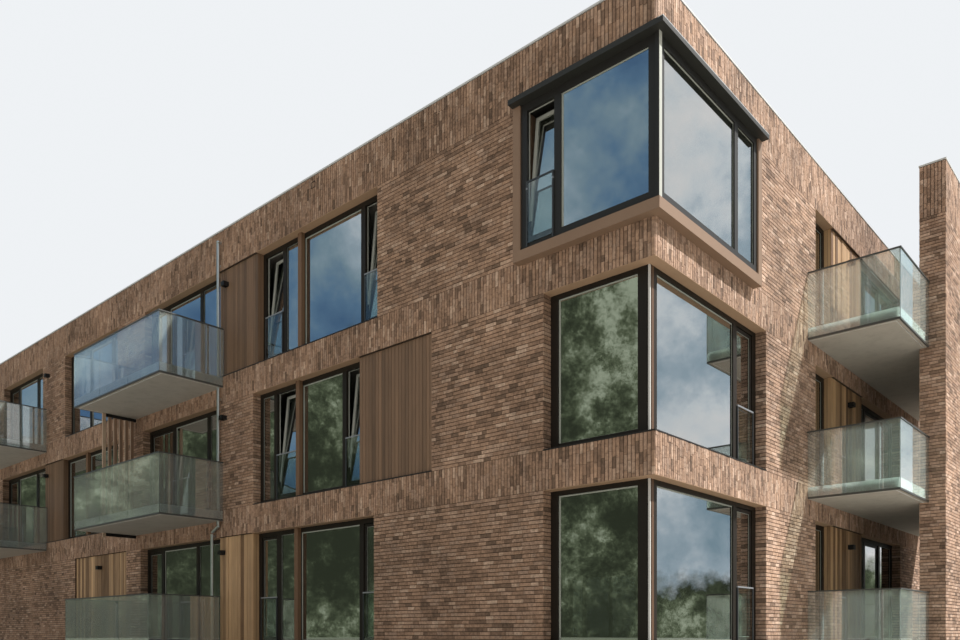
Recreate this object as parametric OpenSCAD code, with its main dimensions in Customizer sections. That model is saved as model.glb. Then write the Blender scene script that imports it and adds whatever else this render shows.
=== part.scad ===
// Three-storey brick apartment block with a corner bay window, corner glazing,
// glass balustraded balconies and a free-standing brick screen wall.
// The origin is the street corner of the two seen facades at ground level.
// The long front runs from the corner along -X and faces -Y.
// The side facade runs from the corner along +Y and faces +X.

/* [Block] */
// Depth of the block along the side facade
block_depth = 15500; // [15000:100:18000]
// Height from one window sill to the next
storey_h = 3000; // [2900:10:3200]
// Height of the lowest sills above the ground
plinth_h = 1400; // [1200:10:1600]
// Height of every wall opening
opening_h = 2400; // [2250:10:2400]
// Brickwork from the top openings' heads to the underside of the coping
parapet_h = 890; // [850:10:1100]
// Thickness of the outer walls
wall_t = 400; // [380:10:450]

/* [Ground floor front] */
// Brick between the corner window and the next windows
ground_pier_1 = 3875; // [3500:5:4200]
// Lights of the windows, from the corner outwards
ground_window = [575, 1965, 700, 745]; // [450:5:2200]
// Timber boards between the windows and the balcony door
ground_boards = 1330; // [1100:5:1500]
// Lights of the balcony door
ground_door = [1230, 1670, 820]; // [600:5:2000]
// Brick beyond the balcony door
ground_pier_2 = 780; // [600:5:1000]
// Wide field of timber boards
ground_wide_boards = 3195; // [2800:5:3500]

/* [First floor front] */
// Brick between the corner window and the slats
first_pier_1 = 2390; // [2100:5:2700]
// Slats beside the first windows
first_slats_1 = 1950; // [1700:5:2200]
// Lights of the first windows
first_window_1 = [620, 1400, 880, 570]; // [450:5:2200]
// Brick before the first balcony door
first_pier_2 = 1380; // [1100:5:1500]
// Lights of the first balcony door
first_door_1 = [740, 1590, 1255]; // [600:5:2000]
// Brick beyond the first balcony door
first_pier_3 = 1385; // [1100:5:1900]
// Lights of the second windows
first_window_2 = [700, 1490, 1460]; // [600:5:2000]
// Slats beside the second windows
first_slats_2 = 1340; // [1100:5:1500]
// Lights of the second balcony door
first_door_2 = [1020, 1580, 870]; // [600:5:2000]

/* [Second floor front] */
// Brick between the bay and the first windows
second_pier_1 = 3310; // [3000:5:3600]
// Lights of the first windows
second_window_1 = [625, 1885, 620, 780]; // [450:5:2200]
// Slats beside the first windows
second_slats = 1500; // [1300:5:1700]
// Lights of the first balcony door
second_door_1 = [1050, 1570, 850]; // [600:5:2000]
// Brick beyond the first balcony door
second_pier_2 = 1500; // [1300:5:1700]
// Lights of the second windows
second_window_2 = [700, 1410, 1320]; // [600:5:2000]
// Brick before the second balcony door
second_pier_3 = 1620; // [1400:5:1800]
// Lights of the second balcony door
second_door_2 = [900, 1580, 800]; // [600:5:2000]
// Brick from there to the far corner
end_pier = 2600; // [2200:10:3000]

/* [Side, rear and end openings] */
// Distance of the side's tall opening from the corner
side_from = 6100; // [5900:10:6300]
// Narrow light beside the side's boards
side_light = 1005; // [800:5:1100]
// Timber boards on the side
side_boards = 1920; // [1700:5:2200]
// Lights of the side's balcony door
side_door = [700, 1120, 1050]; // [600:5:1400]
// Number of windows in each row of the rear
rear_count = 4; // [3:1:5]
// Number of windows in each row of the far end
end_count = 2; // [1:1:3]
// Width of the rear and end windows
rear_window_w = 3600; // [3000:10:3800]
// Width of the sashes' lights in them
rear_sash_w = 700; // [600:5:900]

/* [Floors and roof] */
// Thickness of the concrete floors
slab_t = 300; // [250:10:320]
// How far the floors lie under the sills
floor_drop = 30; // [20:5:60]
// Thickness of the insulation and covering on the roof
roof_cover_t = 150; // [100:10:200]
// Thickness of the copings
coping_t = 30; // [20:5:40]
// How far the copings overhang the brickwork
coping_out = 20; // [10:5:40]

/* [Corner openings] */
// Width of the corner openings along the front
corner_front_w = 1910; // [1800:10:2200]
// Width of the corner openings along the side
corner_side_w = 3760; // [3500:10:4000]
// Return of the notch where the two corner frames meet
corner_notch = 50; // [30:5:60]
// Face width of the corner frames
corner_frame_w = 145; // [100:5:160]
// Height of the corner frames' head member
corner_head_w = 80; // [60:5:145]
// Height of the corner frames' foot member
corner_foot_w = 115; // [90:5:145]
// Width of the narrow light at the far end of the side wing
corner_light_w = 830; // [700:10:900]

/* [Bay window] */
// Width of the bay along the front, from the corner
bay_front_w = 2380; // [2200:10:2600]
// Width of the bay along the side, from the corner
bay_side_w = 3220; // [3000:10:3400]
// How far the casing stands in front of the brick
bay_out = 160; // [120:5:200]
// How far the canopy stands in front of the brick
bay_canopy_out = 280; // [230:5:340]
// Thickness of the canopy
bay_canopy_t = 80; // [60:5:100]
// Face width of the casing's sides and underside
bay_casing_w = 140; // [100:5:160]
// How far the casing hangs below the sill
bay_drop = 60; // [40:5:100]
// Depth of the casing from its front into the wall
bay_casing_d = 400; // [300:10:440]
// Face width of the bay's frame members
bay_frame_w = 115; // [100:5:160]
// Width of the narrow light at the front end of the bay
bay_front_light = 690; // [600:10:800]
// Width of the narrow light at the side end of the bay
bay_side_light = 780; // [650:10:850]
// Side of the square corner post
bay_post_w = 70; // [50:5:90]

/* [Windows] */
// Depth of the outer reveals in front of the frames
recess = 180; // [140:5:200]
// Face width of the frames
frame_w = 100; // [80:5:120]
// Depth of the frames
frame_d = 80; // [60:5:100]
// Face width of the mullions
mullion_w = 120; // [90:5:140]
// Thickness of the glazing units
glass_t = 24; // [20:2:40]
// Face width of the sashes
sash_w = 55; // [45:5:70]
// Depth of the sashes
sash_d = 60; // [50:5:60]
// Angle at which the open sashes lean into the rooms
sash_tilt = 6; // [3:1:8]
// How far the brown posts stay behind the brick face
room_post_back = 100; // [60:5:140]
// Thickness of the sill plates
sill_t = 20; // [10:5:30]
// How far the sill plates stand in front of the brick
sill_out = 15; // [5:5:30]
// Height of the window balustrades above the sills
juliet_h = 1010; // [950:10:1100]
// Section of the window balustrades' rails and side channels
juliet_bar = 25; // [20:5:40]
// Thickness of the window balustrades' glass
juliet_glass_t = 12; // [10:1:16]

/* [Timber] */
// Thickness of the timber infill panels
panel_t = 260; // [220:10:300]
// How far the timber panels lie behind the brick face
panel_back = 50; // [30:5:70]

/* [Balconies] */
// Thickness of the balcony slabs
balcony_slab_t = 220; // [180:10:220]
// Height of the window sills above the balcony soffits
balcony_drop = 240; // [230:5:280]
// Height of the front handrails above the window sills
front_rail_h = 1080; // [1000:10:1100]
// Height of the side handrails above the window sills
side_rail_h = 1030; // [1000:10:1100]
// Width of the front balconies over their glass
front_balcony_w = 4250; // [4000:10:4500]
// Depth of the upper front balconies over their glass
front_balcony_d = 1515; // [1300:10:1700]
// How far the first stack of front balconies starts before its doors
first_lap = 195; // [150:5:250]
// How far the ground floor's balcony stands beyond the ones above it
ground_shift = 185; // [150:5:220]
// Depth of the ground floor's front balcony over its glass
ground_balcony_d = 1650; // [1500:10:1800]
// How far the second stack of front balconies starts before its doors
second_lap = 270; // [200:5:350]
// How far the side balconies start before the side's tall opening
side_lap = 410; // [300:10:500]
// Depth of the side balconies over their glass
side_balcony_d = 1620; // [1550:10:1700]
// Thickness of the balustrade glass
rail_glass_t = 16; // [12:2:20]
// Joint between two panes of glass
pane_gap = 12; // [8:1:20]
// Length of the first pane in the side balconies' long run
side_pane = 1190; // [900:10:1300]
// Space between a slab's edge and the outer face of its glass
glass_off = 30; // [25:5:40]
// Height of the profile that holds the foot of the glass
clamp_h = 35; // [25:5:60]
// Height of the handrail profile
cap_h = 25; // [15:5:40]
// Width of the handrail profile
cap_w = 40; // [30:5:50]
// Width of the flat posts in the side panes
post_w = 50; // [40:5:60]
// Thickness of the flat posts
post_t = 12; // [8:2:14]
// Distance of the front balconies' flat posts from the wall
front_post_at = 350; // [250:10:500]
// Distance of the side balconies' flat posts from the wall
side_post_at = 250; // [200:10:400]
// Width and depth of the drip groove under a slab
drip = 20; // [10:5:30]
// Distance of the drip groove from the slab's edge
drip_in = 50; // [40:5:80]

/* [Screen wall] */
// Inner face of the screen wall, from the side facade
screen_in = 1460; // [1450:5:1480]
// Thickness of the screen wall
screen_t = 440; // [400:10:460]
// Near end of the screen wall, from the corner
screen_start = 7650; // [7500:10:7800]
// Length of the screen wall
screen_len = 5950; // [5500:50:6500]

/* [Privacy screen] */
// Number of timber fins
fin_count = 6; // [4:1:8]
// Width of a fin, along the balcony's depth
fin_w = 80; // [60:5:90]
// Thickness of a fin
fin_t = 40; // [30:5:60]
// Distance from the wall to the first fin
fin_start = 70; // [40:5:120]
// Distance from one fin to the next
fin_pitch = 143; // [120:1:150]
// Height of the end post's foot below the first-floor slab
fin_foot = 110; // [80:5:140]
// Height of the steel channels that hold the fins
channel_h = 75; // [50:5:80]
// Width of the steel channels
channel_w = 60; // [50:5:70]

/* [Rainwater and lamps] */
// Diameter of the downpipes
pipe_d = 66; // [60:2:70]
// Distance of the downpipes' axes from the brick
pipe_off = 80; // [70:5:100]
// Distance of the right downpipe's axis from the first stack's end
pipe_from_end = 88; // [86:2:130]
// Sideways step of the right downpipe under the first floor's balcony
pipe_step = 260; // [220:5:300]
// Height of that step
pipe_drop = 120; // [100:5:180]
// Distance of the left downpipe's axis beyond the second stack
pipe_gap = 300; // [200:10:400]
// How far under the first floor's balcony the step starts
step_down = 125; // [110:5:160]
// Distance of the pipe clips from the heads below and above them
clip_gap = 80; // [60:5:120]
// Height of the clip on the first floor's pier above the sill
clip_up = 1300; // [1000:50:1500]
// How far the downpipes' heads lie under the coping
pipe_head = 270; // [200:10:400]
// Distance of the roof overflow from the corner
overflow_at = 7600; // [7400:10:7800]
// How far the overflow's axis lies under the top of the brickwork
overflow_down = 180; // [150:5:220]
// Width and height of the roof overflow's square spout
overflow_w = 120; // [90:5:140]
// How far the overflow spout stands out of the brick
overflow_out = 20; // [15:5:60]
// Width of the wall lamps
lamp_w = 130; // [100:5:150]
// Height of the wall lamps
lamp_h = 95; // [60:5:110]
// Depth of the wall lamps
lamp_d = 140; // [80:5:160]
// Height of the wall lamps above the sills
lamp_up = 2000; // [1900:10:2100]
// Distances of the right stack's lamps from the balcony doors, from the ground up
right_lamps = [160, 290, 290]; // [100:10:500]
// Distances of the left stack's lamps from the balcony doors, first and second floor
left_lamps = [180, 460]; // [100:10:500]
// Distance of the side lamps from the near edge of their boards
side_lamp_in = 1070; // [800:10:1200]

/* [Hidden] */
$fn = 32;
eps = 1;
touch = 0.3;
clear = 4;
storeys = 3;
FRONT = 0;
SIDE = 1;
REAR = 2;
END = 3;

// Places along a row
function part_sum(v, n) = n <= 0 ? 0 : v[n - 1] + part_sum(v, n - 1);
function total(v) = part_sum(v, len(v));
function widths(row) = [for (item = row) item[1]];
function start_of(row, i) = part_sum(widths(row), i);
function end_of(row) = total(widths(row));
function is_kind(item, kind) = item[0] == kind;

// Each facade is one row for each storey, from its reference corner, as
// [kind, width, lights], with the lights as [type, width]. In a glazed item's
// word, F is a fixed light, P a fixed light with a brown post on its far edge,
// C a sash that is shut, T a sash that leans open and D a door leaf.
function glazed(word, w) =
    ["glazed", total(w), [for (n = [0:len(w) - 1]) [word[n], w[n]]]];

front_rows = [
    [["corner", corner_front_w], ["brick", ground_pier_1],
     glazed("CPFC", ground_window), ["boards", ground_boards],
     glazed("FFD", ground_door), ["brick", ground_pier_2],
     ["boards", ground_wide_boards]],
    [["corner", corner_front_w], ["brick", first_pier_1], ["slats", first_slats_1],
     glazed("TPTF", first_window_1), ["brick", first_pier_2],
     glazed("FFD", first_door_1), ["brick", first_pier_3],
     glazed("CPF", first_window_2), ["slats", first_slats_2],
     glazed("FFD", first_door_2)],
    [["bay", bay_front_w], ["brick", second_pier_1],
     glazed("TPFT", second_window_1), ["slats", second_slats],
     glazed("FFD", second_door_1), ["brick", second_pier_2],
     glazed("CFF", second_window_2), ["brick", second_pier_3],
     glazed("FFD", second_door_2)]
];
front_len = end_of(front_rows[2]) + end_pier;

function side_row(kind, width) =
    [[kind, width], ["brick", side_from - width], glazed("F", [side_light]),
     ["boards", side_boards], glazed("FDF", side_door)];
side_rows = [
    side_row("corner", corner_side_w),
    side_row("corner", corner_side_w),
    side_row("bay", bay_side_w)
];

// Equal windows between equal piers
function even_row(length, count, w) = [
    for (i = [1:count])
        each [["brick", (length - count * w) / (count + 1)],
              glazed("CPFC", [rear_sash_w, w / 2 - rear_sash_w,
                              w / 2 - rear_sash_w, rear_sash_w])]
];
rear_rows = [for (i = [0:storeys - 1]) even_row(front_len, rear_count, rear_window_w)];
end_rows = [for (i = [0:storeys - 1]) even_row(block_depth, end_count, rear_window_w)];
rows = [front_rows, side_rows, rear_rows, end_rows];

// Heights
function sill(i) = plinth_h + i * storey_h;
function head(i) = sill(i) + opening_h;
function soffit(i) = sill(i) - balcony_drop;
function slab_top(i) = soffit(i) + balcony_slab_t;
function front_rail_top(i) = sill(i) + front_rail_h;
function side_rail_top(i) = sill(i) + side_rail_h;
function clamp_top(i) = soffit(i) + clamp_h;
top_head = head(storeys - 1);
roof_slab_z = top_head + 100;
roof_z = roof_slab_z + slab_t;
wall_top = top_head + parapet_h;
clear_y = block_depth - 2 * wall_t;
clear_x = front_len - 2 * wall_t;

// Places of the balconies and pipes on the front
first_stack = start_of(front_rows[2], 4) - first_lap;
second_stack = start_of(front_rows[2], 8) - second_lap;
side_stack = side_from - side_lap;
pipe_right = first_stack + pipe_from_end;
pipe_left = second_stack + front_balcony_w + pipe_gap;

// Bay heights
bay_z0 = sill(2) - bay_drop;
bay_frame_z0 = bay_z0 + bay_casing_w + 20;
bay_frame_z1 = top_head - bay_canopy_t;

// Puts children drawn on a facade, with X along it from its reference corner
// and Y into the building, on the front, side, rear or end of the block
module on(face) {
    if (face == FRONT)
        mirror([1, 0, 0]) children();
    else if (face == SIDE)
        rotate([0, 0, 90]) children();
    else if (face == REAR)
        translate([0, block_depth, 0]) rotate([0, 0, 180]) children();
    else
        translate([-front_len, 0, 0]) mirror([1, -1, 0]) children();
}

// Walls

module wall_strip(face, from, to, z0, z1) {
    on(face) translate([from, 0, z0]) cube([to - from, wall_t, z1 - z0]);
}

// Cuts every opening of a storey's row out of its wall
module storey_wall(face, i, from, to, z1) {
    row = rows[face][i];
    difference() {
        wall_strip(face, from, to, sill(i), z1);
        for (n = [0:len(row) - 1])
            if (!is_kind(row[n], "brick"))
                on(face)
                    translate([start_of(row, n) - (n == 0 ? eps : 0), -eps, sill(i) - eps])
                        cube([row[n][1] + (n == 0 ? eps : 0), wall_t + 2 * eps,
                              opening_h + eps]);
    }
}

function wall_z1(i) = i < storeys - 1 ? sill(i + 1) : roof_z;

module front_wall(i) color("#8a6c57") storey_wall(FRONT, i, 0, front_len, wall_z1(i));
module side_wall(i)
    color("#b3937c") storey_wall(SIDE, i, wall_t, block_depth - wall_t, wall_z1(i));
module rear_wall(i) color("#8a6c57") storey_wall(REAR, i, 0, front_len, wall_z1(i));
module end_wall(i)
    color("#8a6c57") storey_wall(END, i, wall_t, block_depth - wall_t, wall_z1(i));

module ring(out, in, z0, z1) {
    translate([-front_len - out, -out, z0])
        difference() {
            cube([front_len + 2 * out, block_depth + 2 * out, z1 - z0]);
            translate([out + in, out + in, -eps])
                cube([front_len - 2 * in, block_depth - 2 * in, z1 - z0 + 2 * eps]);
        }
}

module plinth() color("#8a6c57") ring(0, wall_t, 0, sill(0));

overflow_z = wall_top - overflow_down;

// Square bar through the parapet, round the overflow's axis
module spout_block(w, y0, y1)
    translate([-w / 2, y0, -w / 2]) cube([w, y1 - y0, w]);

module parapet() {
    color("#8a6c57")
        difference() {
            ring(0, wall_t, roof_z, wall_top);
            on(FRONT)
                translate([overflow_at, 0, overflow_z])
                    spout_block(overflow_w + 2 * touch, -eps, wall_t + eps);
        }
}

module screen_wall() {
    color("#8a6c57")
        translate([screen_in, screen_start, 0]) cube([screen_t, screen_len, wall_top]);
}

module wall_copings() {
    color("#b9bcbd") {
        ring(coping_out, wall_t + coping_out, wall_top, wall_top + coping_t);
        translate([screen_in - coping_out, screen_start - coping_out, wall_top])
            cube([screen_t + 2 * coping_out, screen_len + 2 * coping_out, coping_t]);
    }
}

// Floors and roof

module inner_plate(z0, t)
    translate([-front_len + wall_t, wall_t, z0]) cube([clear_x, clear_y, t]);

module floor_slab(i)
    color("#b7b4ac") inner_plate(sill(i) - floor_drop - slab_t, slab_t);

module roof_slab() color("#b7b4ac") inner_plate(roof_slab_z, slab_t);
module roof_covering() color("#5c5f60") inner_plate(roof_z, roof_cover_t);

// Frames, drawn from the lower outer corner of an opening

function light_x(lights, n) = part_sum(widths(lights), n);
function edge_w(lights, n, w) = n == 0 || n == len(lights) ? w : mullion_w / 2;
function pane_x0(lights, n, w) = light_x(lights, n) + edge_w(lights, n, w);
function pane_x1(lights, n, w) = light_x(lights, n + 1) - edge_w(lights, n + 1, w);

// Heights of the head and foot members, where they differ from the stiles' width
function head_w(w) = is_undef($head_w) ? w : $head_w;
function foot_w(w) = is_undef($foot_w) ? w : $foot_w;
function inner_h(h, w) = h - head_w(w) - foot_w(w);

// Head and foot members run through, and the stiles stand between them with a
// hairline joint
module frame(lights, h, w) {
    for (m = [[0, foot_w(w)], [h - head_w(w), head_w(w)]])
        translate([0, 0, m[0]]) cube([light_x(lights, len(lights)), frame_d, m[1]]);
    for (n = [0:len(lights)]) {
        x0 = n == 0 ? 0 : light_x(lights, n) - edge_w(lights, n, w);
        x1 = n == len(lights) ? light_x(lights, n) : light_x(lights, n) + edge_w(lights, n, w);
        translate([x0, 0, foot_w(w) + touch])
            cube([x1 - x0, frame_d, inner_h(h, w) - 2 * touch]);
    }
}

// Glass of the fixed lights
module fixed_glass(lights, h, w) {
    for (n = [0:len(lights) - 1])
        if (!has_sash(lights[n]))
            translate([pane_x0(lights, n, w), (frame_d - glass_t) / 2, foot_w(w)])
                cube([pane_x1(lights, n, w) - pane_x0(lights, n, w), glass_t,
                      inner_h(h, w)]);
}

// Places a sash in its light: shut inside the frame, or leaning from its foot
module sash_place(lights, n, w) {
    lean = lights[n][0] == "T" ? sash_tilt : 0;
    translate([pane_x0(lights, n, w) + clear, frame_d, foot_w(w) + touch])
        rotate([-lean, 0, 0])
            translate([0, -sash_d, 0])
                children();
}

function has_sash(light) = light[0] == "T" || light[0] == "C" || light[0] == "D";
function has_juliet(light) = light[0] == "T" || light[0] == "C";

module sash_frames(lights, h, w) {
    for (n = [0:len(lights) - 1])
        if (has_sash(lights[n])) {
            sw = pane_x1(lights, n, w) - pane_x0(lights, n, w) - 2 * clear;
            sh = inner_h(h, w) - 2 * clear;
            sash_place(lights, n, w) {
                for (z = [0, sh - sash_w])
                    translate([0, 0, z]) cube([sw, sash_d, sash_w]);
                for (x = [0, sw - sash_w])
                    translate([x, 0, sash_w + touch])
                        cube([sash_w, sash_d, sh - 2 * sash_w - 2 * touch]);
            }
        }
}

module sash_glass(lights, h, w) {
    for (n = [0:len(lights) - 1])
        if (has_sash(lights[n])) {
            sw = pane_x1(lights, n, w) - pane_x0(lights, n, w) - 2 * clear;
            sh = inner_h(h, w) - 2 * clear;
            sash_place(lights, n, w)
                translate([sash_w, (sash_d - glass_t) / 2, sash_w])
                    cube([sw - 2 * sash_w, glass_t, sh - 2 * sash_w]);
        }
}

// Balustrade in front of a sash: side channels, a rail on them and a glass pane
module juliet_bars(lights, w) {
    for (n = [0:len(lights) - 1])
        if (has_juliet(lights[n])) {
            x0 = pane_x0(lights, n, w);
            x1 = pane_x1(lights, n, w);
            for (x = [x0, x1 - juliet_bar])
                translate([x, -juliet_bar, sill_t])
                    cube([juliet_bar, juliet_bar,
                          juliet_h - sill_t - juliet_bar - touch]);
            translate([x0, -juliet_bar, juliet_h - juliet_bar])
                cube([x1 - x0, juliet_bar, juliet_bar]);
        }
}

module juliet_pane(lights, w) {
    for (n = [0:len(lights) - 1])
        if (has_juliet(lights[n])) {
            x0 = pane_x0(lights, n, w);
            x1 = pane_x1(lights, n, w);
            translate([x0 + juliet_bar, -(juliet_bar + juliet_glass_t) / 2,
                       frame_w / 2 + sill_t])
                cube([x1 - x0 - 2 * juliet_bar, juliet_glass_t,
                      juliet_h - juliet_bar - frame_w / 2 - sill_t]);
        }
}

// Corner windows

// Lights of a corner wing from the notch outwards
corner_start = recess + corner_notch;
front_wing = [["F", corner_front_w - corner_start]];
side_wing = [["F", corner_side_w - corner_start - corner_light_w], ["C", corner_light_w]];
corner_storeys = [0, 1];

module corner_wings(i) {
    on(FRONT)
        translate([corner_start, recess, sill(i)]) {
            $head_w = corner_head_w;
            $foot_w = corner_foot_w;
            $lights = front_wing;
            children();
        }
    on(SIDE)
        translate([corner_start, recess, sill(i)]) {
            $head_w = corner_head_w;
            $foot_w = corner_foot_w;
            $lights = side_wing;
            children();
        }
}

module corner_window_frames() {
    color("#2b2724")
        for (i = corner_storeys)
            corner_wings(i) frame($lights, opening_h, corner_frame_w);
}

module corner_window_glass() {
    color("#9fb0b2", 0.5)
        for (i = corner_storeys)
            corner_wings(i) {
                fixed_glass($lights, opening_h, corner_frame_w);
                sash_glass($lights, opening_h, corner_frame_w);
            }
}

// Bay window

// L-shaped plan round the corner, from the outer face out to a depth inwards
module corner_plan(out, depth, front_w, side_w) {
    polygon([
        [out, -out], [-front_w, -out], [-front_w, depth - out],
        [out - depth, depth - out], [out - depth, side_w], [out, side_w]
    ]);
}

module bay_casing() {
    color("#76695c")
        difference() {
            translate([0, 0, bay_z0])
                linear_extrude(bay_frame_z1 - bay_z0)
                    corner_plan(bay_out, bay_casing_d, bay_front_w, bay_side_w);
            // The opening between the casing's sides
            translate([0, 0, bay_frame_z0])
                linear_extrude(bay_frame_z1 - bay_frame_z0 + eps)
                    corner_plan(bay_out + eps, bay_casing_d + 2 * eps,
                                bay_front_w - bay_casing_w, bay_side_w - bay_casing_w);
            // The seat on the wall below
            translate([-bay_front_w - eps, 0, bay_z0 - eps])
                cube([bay_front_w + eps, bay_side_w + eps, bay_drop + eps]);
        }
}

module bay_canopy() {
    color("#4a4b4b")
        translate([0, 0, bay_frame_z1])
            linear_extrude(bay_canopy_t)
                corner_plan(bay_canopy_out, bay_casing_d + bay_canopy_out - bay_out,
                            bay_front_w, bay_side_w);
}

bay_h = bay_frame_z1 - bay_frame_z0;
bay_set = 30;
bay_wing_start = bay_post_w - bay_out;
bay_front_len = bay_front_w - bay_casing_w - bay_wing_start;
bay_side_len = bay_side_w - bay_casing_w - bay_wing_start;
bay_front_lights = [["F", bay_front_len - bay_front_light], ["T", bay_front_light]];
bay_side_lights = [["F", bay_side_len - bay_side_light], ["F", bay_side_light]];

module bay_wings() {
    on(FRONT)
        translate([bay_wing_start, bay_set - bay_out, bay_frame_z0]) {
            $lights = bay_front_lights;
            children();
        }
    on(SIDE)
        translate([bay_wing_start, bay_set - bay_out, bay_frame_z0]) {
            $lights = bay_side_lights;
            children();
        }
}

module bay_frame() {
    color("#2f3132") {
        bay_wings() frame($lights, bay_h, bay_frame_w);
        translate([bay_out - bay_post_w, -bay_out, bay_frame_z0])
            cube([bay_post_w, bay_post_w, bay_h]);
    }
}

module bay_glass() {
    color("#9fb0b2", 0.5)
        bay_wings() {
            fixed_glass($lights, bay_h, bay_frame_w);
            sash_glass($lights, bay_h, bay_frame_w);
        }
}

// Windows in rows

module each_window(face) {
    for (i = [0:storeys - 1]) {
        row = rows[face][i];
        for (n = [0:len(row) - 1])
            if (is_kind(row[n], "glazed"))
                on(face)
                    translate([start_of(row, n), recess, sill(i)]) {
                        $lights = row[n][2];
                        children();
                    }
    }
}

module window_frames(face)
    color("#2b2724") each_window(face) frame($lights, opening_h, frame_w);

module window_glass(face) {
    color("#9fb0b2", 0.5)
        each_window(face) {
            fixed_glass($lights, opening_h, frame_w);
            sash_glass($lights, opening_h, frame_w);
        }
}

module window_sashes(face)
    color("#2b2724") each_window(face) sash_frames($lights, opening_h, frame_w);

module sashes() {
    color("#2b2724") {
        window_sashes(FRONT);
        window_sashes(SIDE);
        for (i = corner_storeys)
            corner_wings(i) sash_frames($lights, opening_h, corner_frame_w);
        bay_wings() sash_frames($lights, bay_h, bay_frame_w);
    }
}

module room_posts() {
    color("#6b4f3b")
        each_window(FRONT)
            for (n = [0:len($lights) - 1])
                if ($lights[n][0] == "P")
                    translate([light_x($lights, n + 1) - mullion_w / 2,
                               room_post_back - recess, sill_t])
                        cube([mullion_w, recess - room_post_back, opening_h - sill_t]);
}

module juliet_rails() {
    color("#3a3d3f") {
        for (i = corner_storeys)
            corner_wings(i) juliet_bars($lights, corner_frame_w);
        bay_wings() juliet_bars($lights, bay_frame_w);
        each_window(FRONT) juliet_bars($lights, frame_w);
    }
}

module juliet_glass() {
    color("#b9c6c4", 0.5) {
        for (i = corner_storeys)
            corner_wings(i) juliet_pane($lights, corner_frame_w);
        bay_wings() juliet_pane($lights, bay_frame_w);
        each_window(FRONT) juliet_pane($lights, frame_w);
    }
}

module panels(face, kind) {
    for (i = [0:storeys - 1]) {
        row = rows[face][i];
        for (n = [0:len(row) - 1])
            if (is_kind(row[n], kind))
                on(face)
                    translate([start_of(row, n), panel_back, sill(i)])
                        cube([row[n][1], panel_t, opening_h]);
    }
}

module slat_panels() color("#57412f") panels(FRONT, "slats");

module board_panels() {
    color("#8d6b4a") {
        panels(FRONT, "boards");
        panels(SIDE, "boards");
    }
}

// Plates on the brick ledges in front of the timber panels
module panel_plates(face) {
    for (i = [0:storeys - 1]) {
        row = rows[face][i];
        for (n = [0:len(row) - 1])
            if (is_kind(row[n], "boards") || is_kind(row[n], "slats"))
                on(face)
                    translate([start_of(row, n) + touch, -sill_out, sill(i)])
                        cube([row[n][1] - 2 * touch, panel_back + sill_out, sill_t]);
    }
}

// Sill plates, in front of every frame
module window_sills() {
    color("#3a3d3f") {
        panel_plates(FRONT);
        panel_plates(SIDE);
        for (face = [FRONT, SIDE, REAR, END])
            each_window(face)
                translate([0, -recess - sill_out, 0])
                    cube([light_x($lights, len($lights)), recess + sill_out, sill_t]);
        for (i = corner_storeys) {
            translate([-corner_front_w, -sill_out, sill(i)])
                cube([corner_front_w + sill_out, recess + sill_out, sill_t]);
            translate([-recess, recess + touch, sill(i)])
                cube([recess + sill_out, corner_side_w - recess - touch, sill_t]);
        }
    }
}

// Balconies

module drip_groove(w, d, z) {
    translate([drip_in, -d + drip_in, z - eps])
        difference() {
            cube([w - 2 * drip_in, d - drip_in + eps, drip + eps]);
            translate([drip, drip, -eps])
                cube([w - 2 * drip_in - 2 * drip, d - drip_in, drip + 3 * eps]);
        }
}

// Slab of a front balcony, from its near lower corner at the wall
module front_slab(w, d, i) {
    difference() {
        translate([glass_off, -d + glass_off, soffit(i)])
            cube([w - 2 * glass_off, d - glass_off, balcony_slab_t]);
        translate([glass_off, 0, 0])
            drip_groove(w - 2 * glass_off, d - glass_off, soffit(i));
    }
}

// Each front balcony as its start, its storey and its depth
front_places = [
    [first_stack + ground_shift, 0, ground_balcony_d],
    for (start = [first_stack, second_stack]) for (i = [1, 2]) [start, i, front_balcony_d]
];

module front_balconies() {
    for (place = front_places)
        on(FRONT)
            translate([place[0], 0, 0]) {
                $storey = place[1];
                $depth = place[2];
                children();
            }
}

pipe_hole = pipe_d + 10;

module front_balcony_slabs() {
    color("#a9a59c")
        difference() {
            front_balconies() front_slab(front_balcony_w, $depth, $storey);
            for (x = [pipe_right, pipe_right + pipe_step])
                translate([-x, -pipe_off, x == pipe_right ? sill(0) : -eps])
                    cylinder(d = pipe_hole, h = x == pipe_right ? wall_top : sill(0));
        }
}

side_len = screen_start + screen_len - side_stack;

module side_balcony_slabs() {
    near = side_stack + glass_off;
    far = screen_start + screen_len - glass_off;
    out = side_balcony_d - glass_off;
    color("#a9a59c")
        for (i = [0:storeys - 1])
            difference() {
                translate([0, 0, soffit(i)])
                    linear_extrude(balcony_slab_t)
                        polygon([
                            [0, near], [out, near], [out, screen_start],
                            [screen_in, screen_start], [screen_in, far], [0, far]
                        ]);
                translate([-eps, near + drip_in, soffit(i) - eps])
                    cube([out - drip_in + eps, drip, drip + eps]);
                translate([out - drip_in - drip, near + drip_in, soffit(i) - eps])
                    cube([drip, screen_start - near - 2 * drip_in, drip + eps]);
            }
}

// A straight run along X, parted into panes at the given places
module parted_run(len_x, joints, t, h) {
    ends = [0, each joints, len_x];
    for (n = [0:len(joints)]) {
        x0 = ends[n] + (n == 0 ? 0 : pane_gap / 2);
        x1 = ends[n + 1] - (n == len(joints) ? 0 : pane_gap / 2);
        translate([x0, 0, 0]) cube([x1 - x0, t, h]);
    }
}

// Straight pieces round a front balcony: two side runs and a front run, with
// hairline joints at the corners
module balustrade_runs(w, d, t, out, z0, h, joints = []) {
    for (x = [-out, w + out - t])
        translate([x, -d - out + t + touch, z0]) cube([t, d + out - t - touch, h]);
    translate([-out, -d - out, z0]) parted_run(w + 2 * out, joints, t, h);
}

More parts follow.
